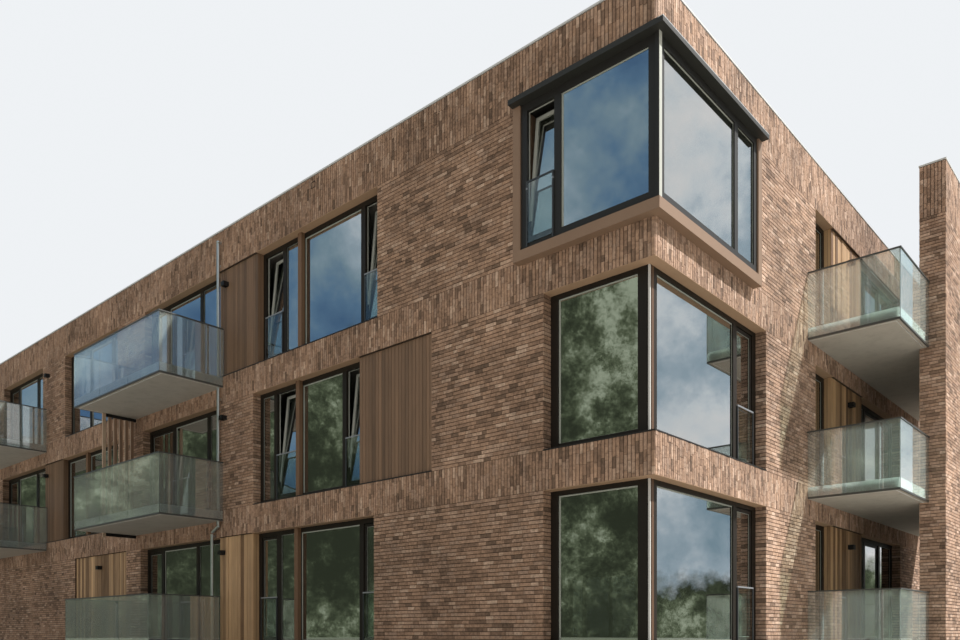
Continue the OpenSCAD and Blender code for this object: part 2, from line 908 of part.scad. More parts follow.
module front_glass(i, d)
    balustrade_runs(front_balcony_w, d, rail_glass_t, 0, clamp_top(i),
                    front_rail_top(i) - cap_h - clamp_top(i),
                    [front_balcony_w / 3, front_balcony_w * 2 / 3]);

cap_out = (cap_w - rail_glass_t) / 2;

module front_rails(i, d) {
    w = front_balcony_w;
    balustrade_runs(w, d, cap_w, cap_out, front_rail_top(i) - cap_h, cap_h);
    balustrade_runs(w, d, glass_off, 0, soffit(i), clamp_h);
    for (x = [rail_glass_t + clear, w - rail_glass_t - post_t - clear])
        translate([x, -front_post_at - post_w, slab_top(i)])
            cube([post_t, post_w, front_rail_top(i) - cap_h - touch - slab_top(i)]);
}

// The side balconies' balustrade: a near side run, a short front run that ends
// at the screen wall, and a far side run between facade and screen wall
module side_runs(t, out, z0, h, joints = []) {
    near = side_stack - out;
    far = screen_start + screen_len + out - t;
    edge = side_balcony_d + out;
    translate([0, near, z0]) cube([edge - t - touch, t, h]);
    translate([edge, near, z0]) rotate([0, 0, 90]) parted_run(screen_start - near, joints, t, h);
    translate([0, far, z0]) cube([screen_in, t, h]);
}

module side_glass(i)
    side_runs(rail_glass_t, 0, clamp_top(i), side_rail_top(i) - cap_h - clamp_top(i),
              [side_pane]);

module side_rails(i) {
    side_runs(cap_w, cap_out, side_rail_top(i) - cap_h, cap_h);
    side_runs(glass_off, 0, soffit(i), clamp_h);
    for (y = [side_stack + rail_glass_t + clear,
              screen_start + screen_len - rail_glass_t - post_t - clear])
        translate([side_post_at, y, slab_top(i)])
            cube([post_w, post_t, side_rail_top(i) - cap_h - touch - slab_top(i)]);
}

module balcony_glass() {
    color("#b9c6c4", 0.5) {
        front_balconies() front_glass($storey, $depth);
        for (i = [0:storeys - 1]) side_glass(i);
    }
}

module balcony_rails() {
    color("#3a3d3f") {
        front_balconies() front_rails($storey, $depth);
        for (i = [0:storeys - 1]) side_rails(i);
    }
}

// Privacy screen at the left end of the right stack

screen_x = first_stack + front_balcony_w - glass_off - 2 * rail_glass_t - fin_t;
channel_len = fin_start + fin_pitch * (fin_count - 1) - clear;

// Fins between floor and channel; the outermost one is the end post, which runs
// past the channel's end up to the slab, with a foot below the slab it stands on
module privacy_fins() {
    color("#9a7a58")
        on(FRONT) {
            for (n = [0:fin_count - 1])
                translate([screen_x, -fin_start - fin_pitch * n - fin_w, slab_top(1)])
                    cube([fin_t, fin_w, soffit(2) - slab_top(1)
                                        - (n < fin_count - 1 ? channel_h : 0)]);
            translate([screen_x, -channel_len - clear - fin_w, soffit(1) - fin_foot])
                cube([fin_t, fin_w, fin_foot]);
        }
}

module fin_channels() {
    color("#1f2021")
        on(FRONT)
            for (i = [1, 2])
                translate([screen_x - (channel_w - fin_t) / 2, -channel_len,
                           soffit(i) - channel_h])
                    cube([channel_w, channel_len, channel_h]);
}

// Rainwater pipes, in lengths that meet at their elbows with a hairline joint

clip_h = 40;
clip_t = 24;
elbow_d = pipe_d + 8;
pipe_top = wall_top - pipe_head;
step_top = soffit(1) - step_down;

module clip(x, z) {
    translate([-x - clip_t / 2, -pipe_off + pipe_d / 2 + touch, z])
        cube([clip_t, pipe_off - pipe_d / 2 - touch, clip_h]);
}

module pipe(x, z0, z1)
    translate([-x, -pipe_off, z0 + (z0 > 0 ? elbow_d / 2 + touch : 0)])
        cylinder(d = pipe_d, h = z1 - z0 - elbow_d / 2 - touch
                                 - (z0 > 0 ? elbow_d / 2 + touch : 0));

// The slanted length that steps a pipe sideways, with its elbows
module pipe_offset_piece(x, z) {
    translate([-x, -pipe_off, z])
        rotate([0, -180 + atan2(pipe_step, pipe_drop), 0])
            cylinder(d = pipe_d, h = sqrt(pow(pipe_step, 2) + pow(pipe_drop, 2)));
    for (p = [[x, z], [x + pipe_step, z - pipe_drop]])
        translate([-p[0], -pipe_off, p[1]]) sphere(d = elbow_d);
}

// The elbow and the short length that bring the water out of the parapet
module pipe_outlet(x) {
    translate([-x, -pipe_off, pipe_top]) {
        sphere(d = elbow_d);
        rotate([-90, 0, 0]) cylinder(d = pipe_d, h = pipe_off);
    }
}

module overflow() {
    on(FRONT)
        translate([overflow_at, 0, overflow_z])
            difference() {
                spout_block(overflow_w, -overflow_out, wall_t);
                spout_block(overflow_w - 10, -overflow_out - eps, wall_t + eps);
            }
}

module rainwater_pipes() {
    low_x = pipe_right + pipe_step;
    color("#8f9495") {
        pipe_outlet(pipe_right);
        pipe(pipe_right, step_top, pipe_top);
        pipe_offset_piece(pipe_right, step_top);
        pipe(low_x, 0, step_top - pipe_drop);
        for (z = [sill(1) + clip_up, head(1) + clip_gap, head(2) + clip_gap])
            clip(pipe_right, z);
        clip(low_x, head(0) + clip_gap / 4);
        clip(low_x, soffit(0) - 2 * clip_gap);
        clip(low_x, 4 * clip_gap);
        pipe_outlet(pipe_left);
        pipe(pipe_left, 0, pipe_top);
        for (i = [0:storeys - 1]) {
            clip(pipe_left, head(i) + clip_gap);
            clip(pipe_left, sill(i) - 6 * clip_gap);
        }
    }
    color("#4a4b4b") overflow();
}

// Wall lamps, as [face, place along it, storey, depth of the surface]

lamps = [
    [FRONT, start_of(front_rows[2], 4) - right_lamps[2], 2, -panel_back],
    [FRONT, start_of(front_rows[1], 5) - right_lamps[1], 1, 0],
    [FRONT, start_of(front_rows[0], 4) - right_lamps[0], 0, -panel_back],
    [FRONT, start_of(front_rows[2], 8) - left_lamps[1], 2, 0],
    [FRONT, start_of(front_rows[1], 9) - left_lamps[0], 1, -panel_back],
    [FRONT, start_of(front_rows[0], 6) + ground_wide_boards / 2, 0, -panel_back],
    for (i = [0:storeys - 1]) [SIDE, side_from + side_light + side_lamp_in, i, -panel_back]
];

module lamp() {
    difference() {
        translate([-lamp_w / 2, -lamp_d, 0]) cube([lamp_w, lamp_d, lamp_h]);
        translate([0, -lamp_d / 2, -eps]) cylinder(d = lamp_d * 0.6, h = lamp_h / 2);
    }
}

module wall_lamps() {
    color("#1a1b1c")
        for (l = lamps)
            on(l[0]) translate([l[1], -l[3], sill(l[2]) + lamp_up]) lamp();
}

plinth();
front_wall(0);  // front_wall_ground
front_wall(1);  // front_wall_first
front_wall(2);  // front_wall_second
side_wall(0);  // side_wall_ground
side_wall(1);  // side_wall_first
side_wall(2);  // side_wall_second
rear_wall(0);  // rear_wall_ground
rear_wall(1);  // rear_wall_first
rear_wall(2);  // rear_wall_second
end_wall(0);  // end_wall_ground
end_wall(1);  // end_wall_first
end_wall(2);  // end_wall_second
parapet();
wall_copings();
screen_wall();
floor_slab(0);  // ground_floor_slab
floor_slab(1);  // first_floor_slab
floor_slab(2);  // second_floor_slab
roof_slab();
roof_covering();
front_balcony_slabs();
side_balcony_slabs();
balcony_glass();
balcony_rails();
privacy_fins();
fin_channels();
corner_window_frames();
corner_window_glass();
bay_casing();
bay_canopy();
bay_frame();
bay_glass();
window_frames(FRONT);  // front_window_frames
window_glass(FRONT);  // front_window_glass
sashes();
room_posts();
juliet_rails();
juliet_glass();
slat_panels();
board_panels();
window_frames(SIDE);  // side_window_frames
window_glass(SIDE);  // side_window_glass
union() {  // rear_window_frames
    window_frames(REAR);
    window_frames(END);
    window_sashes(REAR);
    window_sashes(END);
}
union() {  // rear_window_glass
    window_glass(REAR);
    window_glass(END);
}
window_sills();
rainwater_pipes();
wall_lamps();
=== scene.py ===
"""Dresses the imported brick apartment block: brickwork, timber, glass, metal, light and camera.

Lengths are metres in the model's own frame: X along the long front, Y into the block, Z up.
The camera and the light come first, then the materials, then the pieces from the walls out.
"""

import functools
import math

import bpy
import numpy as np
from mathutils import Matrix, Vector


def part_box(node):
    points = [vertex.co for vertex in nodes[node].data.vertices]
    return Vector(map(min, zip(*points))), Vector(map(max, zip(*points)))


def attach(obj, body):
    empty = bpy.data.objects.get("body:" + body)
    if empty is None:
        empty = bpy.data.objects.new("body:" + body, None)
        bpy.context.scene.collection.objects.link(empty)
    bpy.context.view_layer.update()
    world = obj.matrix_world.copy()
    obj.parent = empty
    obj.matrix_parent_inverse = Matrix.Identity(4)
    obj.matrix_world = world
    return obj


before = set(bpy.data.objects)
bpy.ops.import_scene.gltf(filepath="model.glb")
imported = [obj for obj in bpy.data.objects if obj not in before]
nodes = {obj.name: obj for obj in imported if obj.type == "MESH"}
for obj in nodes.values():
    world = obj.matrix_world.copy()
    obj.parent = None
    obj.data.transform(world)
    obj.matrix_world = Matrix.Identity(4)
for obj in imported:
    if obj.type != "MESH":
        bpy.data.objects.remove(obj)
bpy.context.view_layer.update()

# Sizes of the block

LENGTH = 27.0
DEPTH = 15.5
LEVELS = ("ground", "first", "second")
SILLS = (1.4, 4.4, 7.4)
STOREY = 3.0
OPENING = 2.4
WALL_TOP = 10.69
RECESS = 0.18
PANEL_BACK = 0.05
SIDE_WINDOWS_AT = 6.1

# Stretches of each storey from its reference corner, as (kind, width)
FRONT_ROWS = (
    (("corner", 1.91), ("brick", 3.875), ("glazed", 3.985), ("boards", 1.33),
     ("glazed", 3.72), ("brick", 0.78), ("boards", 3.195)),
    (("corner", 1.91), ("brick", 2.39), ("slats", 1.95), ("glazed", 3.47),
     ("brick", 1.38), ("glazed", 3.585), ("brick", 1.385), ("glazed", 3.65),
     ("slats", 1.34), ("glazed", 3.47)),
    (("bay", 2.38), ("brick", 3.31), ("glazed", 3.91), ("slats", 1.5),
     ("glazed", 3.47), ("brick", 1.5), ("glazed", 3.43), ("brick", 1.62),
     ("glazed", 3.28)),
)


def side_row(kind, width):
    """A storey of the side facade, from the street corner inwards."""
    return ((kind, width), ("brick", SIDE_WINDOWS_AT - width), ("glazed", 1.005),
            ("boards", 1.92), ("glazed", 2.87))


def even_row(length, count, width=3.6):
    """A storey with a number of like windows between equal piers."""
    pier = (length - count * width) / (count + 1)
    return (("brick", pier), ("glazed", width)) * count


SIDE_ROWS = (side_row("corner", 3.76), side_row("corner", 3.76), side_row("bay", 3.22))
REAR_ROWS = (even_row(LENGTH, 4),) * 3
END_ROWS = (even_row(DEPTH, 2),) * 3

# Sizes of the brickwork

COURSE = 0.0625
JOINT = 0.0125
BUTT_JOINT = 0.005
BEDDED = 0.004
PROUD = 0.010
SHADOW_GAP = 0.010
PLINTH_COURSED = 0.8
PLINTH_BAND = 0.6
SCREEN_BAND = 1.0
BAND_TOPS = (*SILLS[1:], WALL_TOP - SHADOW_GAP)


# Camera and light

EYE = (5.68, -10.01, 1.60)
EYE_TURN = 41.57
SUN_TOWARD = (1.2, 1.0, 2.0)
SUN_STRENGTH = 6.2
FILL_STRENGTH = 0.45

# Mirrored clouds: their size, contrast and level, and how much fuller they are towards +X
CLOUD_DRIFT = (7.3, 1.1, 4.9)
CLOUD_SCALE = 4.2
CLOUD_GAIN, CLOUD_LEVEL = 1.5, -0.25
CLOUD_LEAN, LEAN_FROM, LEAN_TO = 0.34, -0.51, 0.48
SKY_COLORS = (
    (0.16, (0.075, 0.160, 0.310)), (0.32, (0.150, 0.275, 0.430)),
    (0.42, (0.280, 0.410, 0.500)), (0.53, (0.480, 0.600, 0.690)),
    (0.62, (0.820, 0.890, 0.940)), (0.72, (1.0, 1.0, 1.0)))

# Mirrored greenery: its clumps and leaves, and how high it stands before the front (-Y)
CLUMP_SCALE, CLUMP_SHARE = 7.0, 0.55
LEAF_SCALE, LEAF_SHARE, PALER_UPWARDS = 30.0, 0.75, 0.06
TREE_RISE, TREE_LEAST = -0.54, 0.06
RAGGED_SCALE, RAGGED_SHARE = 9.0, 0.20
EDGE_FROM, EDGE_TO = 0.085, 0.115
LEAF_COLORS = (
    (0.605, (0.044, 0.054, 0.034)), (0.665, (0.072, 0.090, 0.054)),
    (0.715, (0.155, 0.190, 0.115)), (0.790, (0.480, 0.550, 0.405)))


def place_camera():
    """Stands at eye height before the corner, level, with the lens shifted up."""
    data = bpy.data.cameras.new("photo_camera")
    data.sensor_width = 36.0
    data.lens = 30.86
    data.shift_y = 0.328
    data.clip_end = 500.0
    camera = bpy.data.objects.new("photo_camera", data)
    camera.location = EYE
    camera.rotation_euler = (math.radians(90), 0, math.radians(EYE_TURN))
    bpy.context.scene.collection.objects.link(camera)
    bpy.context.scene.camera = camera


def feed(tree, socket, value):
    """Gives an input a value or another node's output; three numbers will do for a colour."""
    if isinstance(value, bpy.types.NodeSocket):
        tree.links.new(value, socket)
    elif socket.type == "RGBA" and len(value) == 3:
        socket.default_value = (*value, 1)
    else:
        socket.default_value = value


def wire(tree, kind, inputs=None, **settings):
    """Adds a node, sets it up and feeds its inputs with values or other sockets."""
    made = tree.nodes.new(kind)
    for key, value in settings.items():
        setattr(made, key, value)
    for key, value in (inputs or {}).items():
        feed(tree, made.inputs[key], value)
    return made


def ramp(tree, value, stops):
    """A colour ramp with (position, colour) stops."""
    made = wire(tree, "ShaderNodeValToRGB", {"Fac": value})
    band = made.color_ramp
    while len(band.elements) < len(stops):
        band.elements.new(0.5)
    for element, (at, color) in zip(band.elements, stops):
        element.position = at
        element.color = (*color, 1)
    return made.outputs["Color"]


def mix_colors(tree, factor, first, second):
    """First colour where the factor is 0, second where it is 1."""
    return wire(tree, "ShaderNodeMix", {0: factor, 6: first, 7: second},
                data_type="RGBA").outputs[2]


def mix_shaders(tree, factor, first, second):
    """First shader where the factor is 0, second where it is 1."""
    return wire(tree, "ShaderNodeMixShader", {0: factor, 1: first, 2: second}).outputs[0]


def maths(tree, operation, *values):
    """A Math node's result, from values or sockets."""
    return wire(tree, "ShaderNodeMath", dict(enumerate(values)),
                operation=operation).outputs[0]


def vector_maths(tree, operation, first, second):
    """A Vector Math node's result, from values or sockets."""
    return wire(tree, "ShaderNodeVectorMath", {0: first, 1: second},
                operation=operation).outputs[0]


def map_range(tree, value, low, high, to_low=0.0, to_high=1.0):
    """A value spread from one range over another, and held at its ends."""
    return wire(tree, "ShaderNodeMapRange", {
        "Value": value, "From Min": low, "From Max": high, "To Min": to_low,
        "To Max": to_high}).outputs[0]


def axes_of(tree, vector):
    """The X, Y and Z of a vector, as sockets."""
    return wire(tree, "ShaderNodeSeparateXYZ", {0: vector}).outputs


def vector_of(tree, x, y, z):
    """A vector from its X, Y and Z."""
    return wire(tree, "ShaderNodeCombineXYZ", {0: x, 1: y, 2: z}).outputs[0]


def noise(tree, place, scale, detail=4.0, roughness=0.6, distortion=0.0):
    """A noise texture's value."""
    return wire(tree, "ShaderNodeTexNoise", {
        "Vector": place, "Scale": scale, "Detail": detail, "Roughness": roughness,
        "Distortion": distortion}).outputs["Fac"]


def mirrored_backdrop(tree):
    """What glass mirrors: bright clouds over mottled greenery, which is tall before the front."""
    calc = functools.partial(maths, tree)
    toward = wire(tree, "ShaderNodeTexCoord").outputs["Generated"]
    axes = axes_of(tree, toward)
    drift = vector_maths(tree, "ADD", toward, CLOUD_DRIFT)
    cloud = noise(tree, drift, CLOUD_SCALE, detail=9.0)
    across = calc("MINIMUM", calc("MAXIMUM", axes["X"], LEAN_FROM), LEAN_TO)
    cloud = calc("MULTIPLY_ADD", across, CLOUD_LEAN,
                 calc("MULTIPLY_ADD", cloud, CLOUD_GAIN, CLOUD_LEVEL))
    clump = noise(tree, toward, CLUMP_SCALE, detail=3.0)
    fine = noise(tree, toward, LEAF_SCALE, detail=10.0, roughness=0.85)
    fine = calc("MULTIPLY", fine, LEAF_SHARE)
    leaf = calc("MULTIPLY_ADD", axes["Z"], PALER_UPWARDS,
                calc("MULTIPLY_ADD", clump, CLUMP_SHARE, fine))
    treetops = calc("MAXIMUM", calc("MULTIPLY", axes["Y"], TREE_RISE), TREE_LEAST)
    above = calc("SUBTRACT", axes["Z"], treetops)
    ragged = noise(tree, toward, RAGGED_SCALE, detail=8.0, roughness=0.7)
    open_sky = map_range(tree, calc("MULTIPLY_ADD", ragged, RAGGED_SHARE, above),
                         EDGE_FROM, EDGE_TO)
    return mix_colors(tree, open_sky, ramp(tree, leaf, LEAF_COLORS),
                      ramp(tree, cloud, SKY_COLORS))


def ray_kinds(tree):
    """Two masks: rays that show the studio itself, and rays that window glass mirrors.

    A mirrored ray that then passes a balcony's glass still counts as mirrored.
    """
    path = wire(tree, "ShaderNodeLightPath").outputs
    turned_back = maths(tree, "GREATER_THAN", path["Glossy Depth"], 0.5)
    passed = path["Is Transmission Ray"]
    straight = maths(tree, "MULTIPLY", passed, maths(tree, "SUBTRACT", 1.0, turned_back))
    shown = maths(tree, "MAXIMUM", path["Is Camera Ray"], straight)
    mirrored = maths(tree, "MAXIMUM", path["Is Glossy Ray"],
                     maths(tree, "MULTIPLY", passed, turned_back))
    return shown, mirrored


def light_scene():
    """Soft sky light all round, and one sun from the right that leaves the front in shade."""
    world = bpy.data.worlds.new("pale_studio")
    bpy.context.scene.world = world
    world.use_nodes = True
    tree = world.node_tree
    tree.nodes.clear()
    shown, mirrored = ray_kinds(tree)
    fill, show, mirror = (
        wire(tree, "ShaderNodeBackground", {"Color": color, "Strength": strength}).outputs[0]
        for color, strength in (((1.0, 0.98, 0.95), FILL_STRENGTH), ((0.86, 0.885, 0.91), 1.0),
                                (mirrored_backdrop(tree), 1.0)))
    mix = mix_shaders(tree, shown, mix_shaders(tree, mirrored, fill, mirror), show)
    wire(tree, "ShaderNodeOutputWorld", {"Surface": mix})
    sun = bpy.data.lights.new("key_light", "SUN")
    sun.energy = SUN_STRENGTH
    sun.angle = math.radians(1.5)
    sun.color = (1.0, 0.972, 0.945)
    lamp = bpy.data.objects.new("key_light", sun)
    toward = Vector(SUN_TOWARD).normalized()
    lamp.rotation_euler = toward.to_track_quat("Z", "Y").to_euler()
    bpy.context.scene.collection.objects.link(lamp)


# Effects that several materials share

FLOAT, COLOR, VECTOR = "NodeSocketFloat", "NodeSocketColor", "NodeSocketVector"
INTEGER, MATERIAL = "NodeSocketInt", "NodeSocketMaterial"
GREY = (0.5, 0.5, 0.5, 1)
RAIN_STRETCH = (5.0, 5.0, 0.22)
STREAK_FROM, STREAK_TO = 0.48, 0.72
FIBRE_STRETCH = (38.0, 38.0, 1.3)
FIBRE_GAIN, FIBRE_LEVEL, GRAIN_CLOUD_SHARE = 0.75, -0.12, 0.4
BOARD_SHIFT = 37.0


def node_group(name, kind, inputs, outputs):
    """An empty node group with named inputs and outputs, and the sockets at both its ends."""
    tree = bpy.data.node_groups.new(name, kind)
    for label, socket_kind, value in inputs:
        socket = tree.interface.new_socket(label, in_out="INPUT", socket_type=socket_kind)
        if value is not None:
            socket.default_value = value
    for label, socket_kind in outputs:
        tree.interface.new_socket(label, in_out="OUTPUT", socket_type=socket_kind)
    ins, out = tree.nodes.new("NodeGroupInput"), tree.nodes.new("NodeGroupOutput")
    return tree, ins.outputs, out.inputs


def stretched(tree, place, scale):
    """Coordinates scaled along each axis by its own factor."""
    return wire(tree, "ShaderNodeMapping", {"Vector": place, "Scale": scale}).outputs[0]


def mottle_group():
    """Cloudy and fine variation of a colour, with the height that goes with it."""
    tree, ins, out = node_group(
        "mottle", "ShaderNodeTree",
        [("Vector", VECTOR, None), ("Color", COLOR, GREY), ("Cloud Scale", FLOAT, 1.0),
         ("Grain Scale", FLOAT, 60.0), ("Strength", FLOAT, 0.2)],
        [("Color", COLOR), ("Height", FLOAT)])
    cloud = noise(tree, ins["Vector"], ins["Cloud Scale"])
    grain = noise(tree, ins["Vector"], ins["Grain Scale"], detail=3.0, roughness=0.65)
    swing = maths(tree, "SUBTRACT", maths(tree, "ADD", cloud, grain), 1.0)
    gain = maths(tree, "MULTIPLY_ADD", swing, ins["Strength"], 1.0)
    feed(tree, out["Color"], vector_maths(tree, "MULTIPLY", ins["Color"], gain))
    feed(tree, out["Height"], grain)
    return tree


def rain_group():
    """Darkens a colour in soft upright streaks, as rain leaves on a wall."""
    tree, ins, out = node_group(
        "rain", "ShaderNodeTree",
        [("Vector", VECTOR, None), ("Color", COLOR, GREY), ("Strength", FLOAT, 0.2)],
        [("Color", COLOR)])
    streak = noise(tree, stretched(tree, ins["Vector"], RAIN_STRETCH), 1.0, detail=5.0)
    streak = map_range(tree, streak, STREAK_FROM, STREAK_TO)
    keep = maths(tree, "SUBTRACT", 1.0, maths(tree, "MULTIPLY", streak, ins["Strength"]))
    feed(tree, out["Color"], vector_maths(tree, "MULTIPLY", ins["Color"], keep))
    return tree


def timber_group():
    """Upright wood grain between two colours, shifted by each board's own tone."""
    tree, ins, out = node_group(
        "timber", "ShaderNodeTree",
        [("Vector", VECTOR, None), ("Tone", FLOAT, 0.5), ("Spread", FLOAT, 0.55),
         ("Dark", COLOR, (0.1, 0.06, 0.04, 1)), ("Light", COLOR, (0.3, 0.2, 0.12, 1))],
        [("Color", COLOR), ("Height", FLOAT)])
    lift = vector_of(tree, 0.0, 0.0, maths(tree, "MULTIPLY", ins["Tone"], BOARD_SHIFT))
    moved = vector_maths(tree, "ADD", ins["Vector"], lift)
    fibre = noise(tree, stretched(tree, moved, FIBRE_STRETCH), 1.6, detail=6.0, roughness=0.7,
                  distortion=0.35)
    cloud = noise(tree, moved, 1.4, detail=3.0, roughness=0.5)
    mixed = maths(tree, "MULTIPLY_ADD", cloud, GRAIN_CLOUD_SHARE,
                  maths(tree, "MULTIPLY_ADD", fibre, FIBRE_GAIN, FIBRE_LEVEL))
    middle = maths(tree, "SUBTRACT", ins["Tone"], 0.5)
    tone = maths(tree, "MULTIPLY", middle, ins["Spread"])
    total = wire(tree, "ShaderNodeMath", {0: mixed, 1: tone}, operation="ADD",
                 use_clamp=True).outputs[0]
    feed(tree, out["Color"], mix_colors(tree, total, ins["Dark"], ins["Light"]))
    feed(tree, out["Height"], fibre)
    return tree


MOTTLE, RAIN, TIMBER = mottle_group(), rain_group(), timber_group()


def mottled(tree, place, color, cloud, grain, strength):
    """The mottle on a colour, as its Color and Height sockets."""
    return wire(tree, "ShaderNodeGroup", {
        "Vector": place, "Color": color, "Cloud Scale": cloud, "Grain Scale": grain,
        "Strength": strength}, node_tree=MOTTLE).outputs


def rained(tree, place, color, strength):
    """A colour with rain marks."""
    return wire(tree, "ShaderNodeGroup", {
        "Vector": place, "Color": color, "Strength": strength}, node_tree=RAIN).outputs["Color"]


# Masks: each takes a tree and a place, and gives a socket that is 1 inside and 0 outside

def deeper_than(depth):
    """Mask of what lies further inside the block's outline than a depth."""
    def mask(tree, place):
        axes = axes_of(tree, place)
        near_x = maths(tree, "ABSOLUTE", maths(tree, "ADD", axes["X"], LENGTH / 2))
        near_y = maths(tree, "ABSOLUTE", maths(tree, "SUBTRACT", axes["Y"], DEPTH / 2))
        return maths(tree, "MULTIPLY",
                     maths(tree, "LESS_THAN", near_x, LENGTH / 2 - depth),
                     maths(tree, "LESS_THAN", near_y, DEPTH / 2 - depth))
    return mask


def above_sill(low, high):
    """Mask of what lies between two heights above a storey's sills."""
    def mask(tree, place):
        up = maths(tree, "SUBTRACT", axes_of(tree, place)["Z"], SILLS[0])
        up = maths(tree, "FLOORED_MODULO", up, STOREY)
        return maths(tree, "MULTIPLY", maths(tree, "GREATER_THAN", up, low),
                     maths(tree, "LESS_THAN", up, high))
    return mask


def compared(operation, axis, limit):
    """Mask of what lies on one side of a limit along one axis."""
    def mask(tree, place):
        return maths(tree, operation, axes_of(tree, place)[axis], limit)
    return mask


def merged(operation, first, second):
    """Mask made of two masks."""
    def mask(tree, place):
        return maths(tree, operation, first(tree, place), second(tree, place))
    return mask


beyond = functools.partial(compared, "GREATER_THAN")
before = functools.partial(compared, "LESS_THAN")
both = functools.partial(merged, "MULTIPLY")
either = functools.partial(merged, "MAXIMUM")


def facing(tree, axis):
    """How far a face looks along one axis, from -1 to 1."""
    return axes_of(tree, wire(tree, "ShaderNodeNewGeometry").outputs["Normal"])[axis]


def upright_faces(tree, place):
    """Mask of the faces that stand upright."""
    return maths(tree, "LESS_THAN", maths(tree, "ABSOLUTE", facing(tree, "Z")), 0.5)


def front_faces(tree, place):
    """Mask of the faces that look the way the front looks, towards -Y."""
    return maths(tree, "LESS_THAN", facing(tree, "Y"), -0.5)


PLASTERED = deeper_than(0.27)
ABOVE_ROOMS = beyond("Z", 10.2)
ROOM_SIDE = deeper_than(0.236)
CORNER_POST = both(beyond("X", -0.19), before("Y", 0.29))
BAY_CORNER = both(both(beyond("X", -2.5), before("Y", 3.4)), beyond("Z", 7.3))
BAY_SASH_INSIDE = both(BAY_CORNER, deeper_than(-0.078))
# The bay frame is pale on the room side, its own two-tone colour, and pale on its outer faces
# towards +X: a painted highlight where the sun falls.
BAY_INNER_AND_PAINTED_LIT_FACES = either(deeper_than(-0.074), beyond("X", 0.1545))
# The coping's top is painted darker than its face: painted shade on the sunlit top.
COPING_TOP_PAINTED_SHADE = beyond("Z", 10.7195)
# The top of the canopy's edge towards +X is painted pale: a painted highlight where the sun
# falls.
CANOPY_SIDE_EDGE_PAINTED_LIGHT = both(beyond("Z", 9.788), beyond("X", 0.2))
BELOW_HANDRAIL = above_sill(0.0, 1.0)
JULIET_TOP_RAIL = above_sill(0.984, 1.012)
# Pipes near the corner are painted near-black: painted shade for the dark opening of the
# overflow.
CORNER_PIPES_PAINTED_SHADE = beyond("X", -9.0)
# The outermost fin is pale all over; the other fins' faces towards -Y are painted paler: a
# painted highlight.
FIN_OUTER_AND_PAINTED_LIT_FACES = either(before("Y", -0.78), front_faces)


# Materials

CLAY_COLORS = (
    (0.00, (0.162, 0.107, 0.073)), (0.08, (0.232, 0.150, 0.102)),
    (0.28, (0.319, 0.205, 0.137)), (0.50, (0.373, 0.241, 0.161)),
    (0.70, (0.400, 0.266, 0.185)), (0.84, (0.346, 0.237, 0.170)),
    (0.94, (0.448, 0.310, 0.220)), (1.00, (0.524, 0.379, 0.278)))
MORTAR, PLASTER = (0.085, 0.058, 0.041), (0.30, 0.29, 0.27)
# Upright faces are painted far paler than flat ones: painted light on the slab edges.
FLAT_CONCRETE, UPRIGHT_CONCRETE_PAINTED_LIGHT = (0.48, 0.455, 0.405), (0.86, 0.88, 0.87)
MEMBRANE = (0.20, 0.205, 0.21)
PORE_FROM, PORE_TO = 0.05, 0.16
LAP_PITCH, LAP_WIDTH = 1.05, 0.05
MIRROR_COAT_IOR = 3.2
SMOOTHER, ROUGHER = -0.08, 0.1


def material(name):
    """A new material with its Principled shader and object coordinates."""
    made = bpy.data.materials.new(name)
    made.use_nodes = True
    tree = made.node_tree
    tree.nodes.clear()
    skin = wire(tree, "ShaderNodeBsdfPrincipled")
    wire(tree, "ShaderNodeOutputMaterial", {"Surface": skin.outputs[0]})
    place = wire(tree, "ShaderNodeTexCoord").outputs["Object"]
    return made, tree, skin, place


def set_skin(tree, skin, **values):
    """Feeds a shader's inputs; a name's underscores stand for spaces."""
    for key, value in values.items():
        feed(tree, skin.inputs[key.replace("_", " ")], value)


def add_bump(tree, skin, height, strength, distance):
    """Gives a shader relief from a height."""
    bump = wire(tree, "ShaderNodeBump",
                {"Height": height, "Strength": strength, "Distance": distance})
    feed(tree, skin.inputs["Normal"], bump.outputs[0])


def own_tone(tree):
    """The tone that each brick or board carries, from 0 to 1."""
    return wire(tree, "ShaderNodeAttribute", attribute_name="tone").outputs["Fac"]


def brick_material(name, lift):
    """Fired clay in mixed browns, one tone for each brick, mottled and rough."""
    made, tree, skin, place = material(name)
    # Lift scales every tone of the ramp; a lift above 1 gives a copy painted as if sunlit.
    clay = ramp(tree, own_tone(tree), [(at, tuple(a * b for a, b in zip(color, lift)))
                                       for at, color in CLAY_COLORS])
    uneven = mottled(tree, place, clay, cloud=0.55, grain=19.0, strength=1.5)
    set_skin(tree, skin, Base_Color=rained(tree, place, uneven["Color"], strength=0.12),
             Roughness=0.88, Specular_IOR_Level=0.3)
    add_bump(tree, skin, uneven["Height"], strength=1.0, distance=0.010)
    return made


def wall_material():
    """Recessed brown mortar outside, and plaster on the rooms' side."""
    made, tree, skin, place = material("mortar_and_plaster")
    rooms = maths(tree, "MULTIPLY", PLASTERED(tree, place),
                  maths(tree, "SUBTRACT", 1.0, ABOVE_ROOMS(tree, place)))
    mortar = mottled(tree, place, MORTAR, cloud=0.8, grain=120.0, strength=0.5)
    set_skin(tree, skin, Base_Color=mix_colors(tree, rooms, mortar["Color"], PLASTER),
             Roughness=0.95)
    add_bump(tree, skin, mortar["Height"], strength=0.6, distance=0.003)
    return made


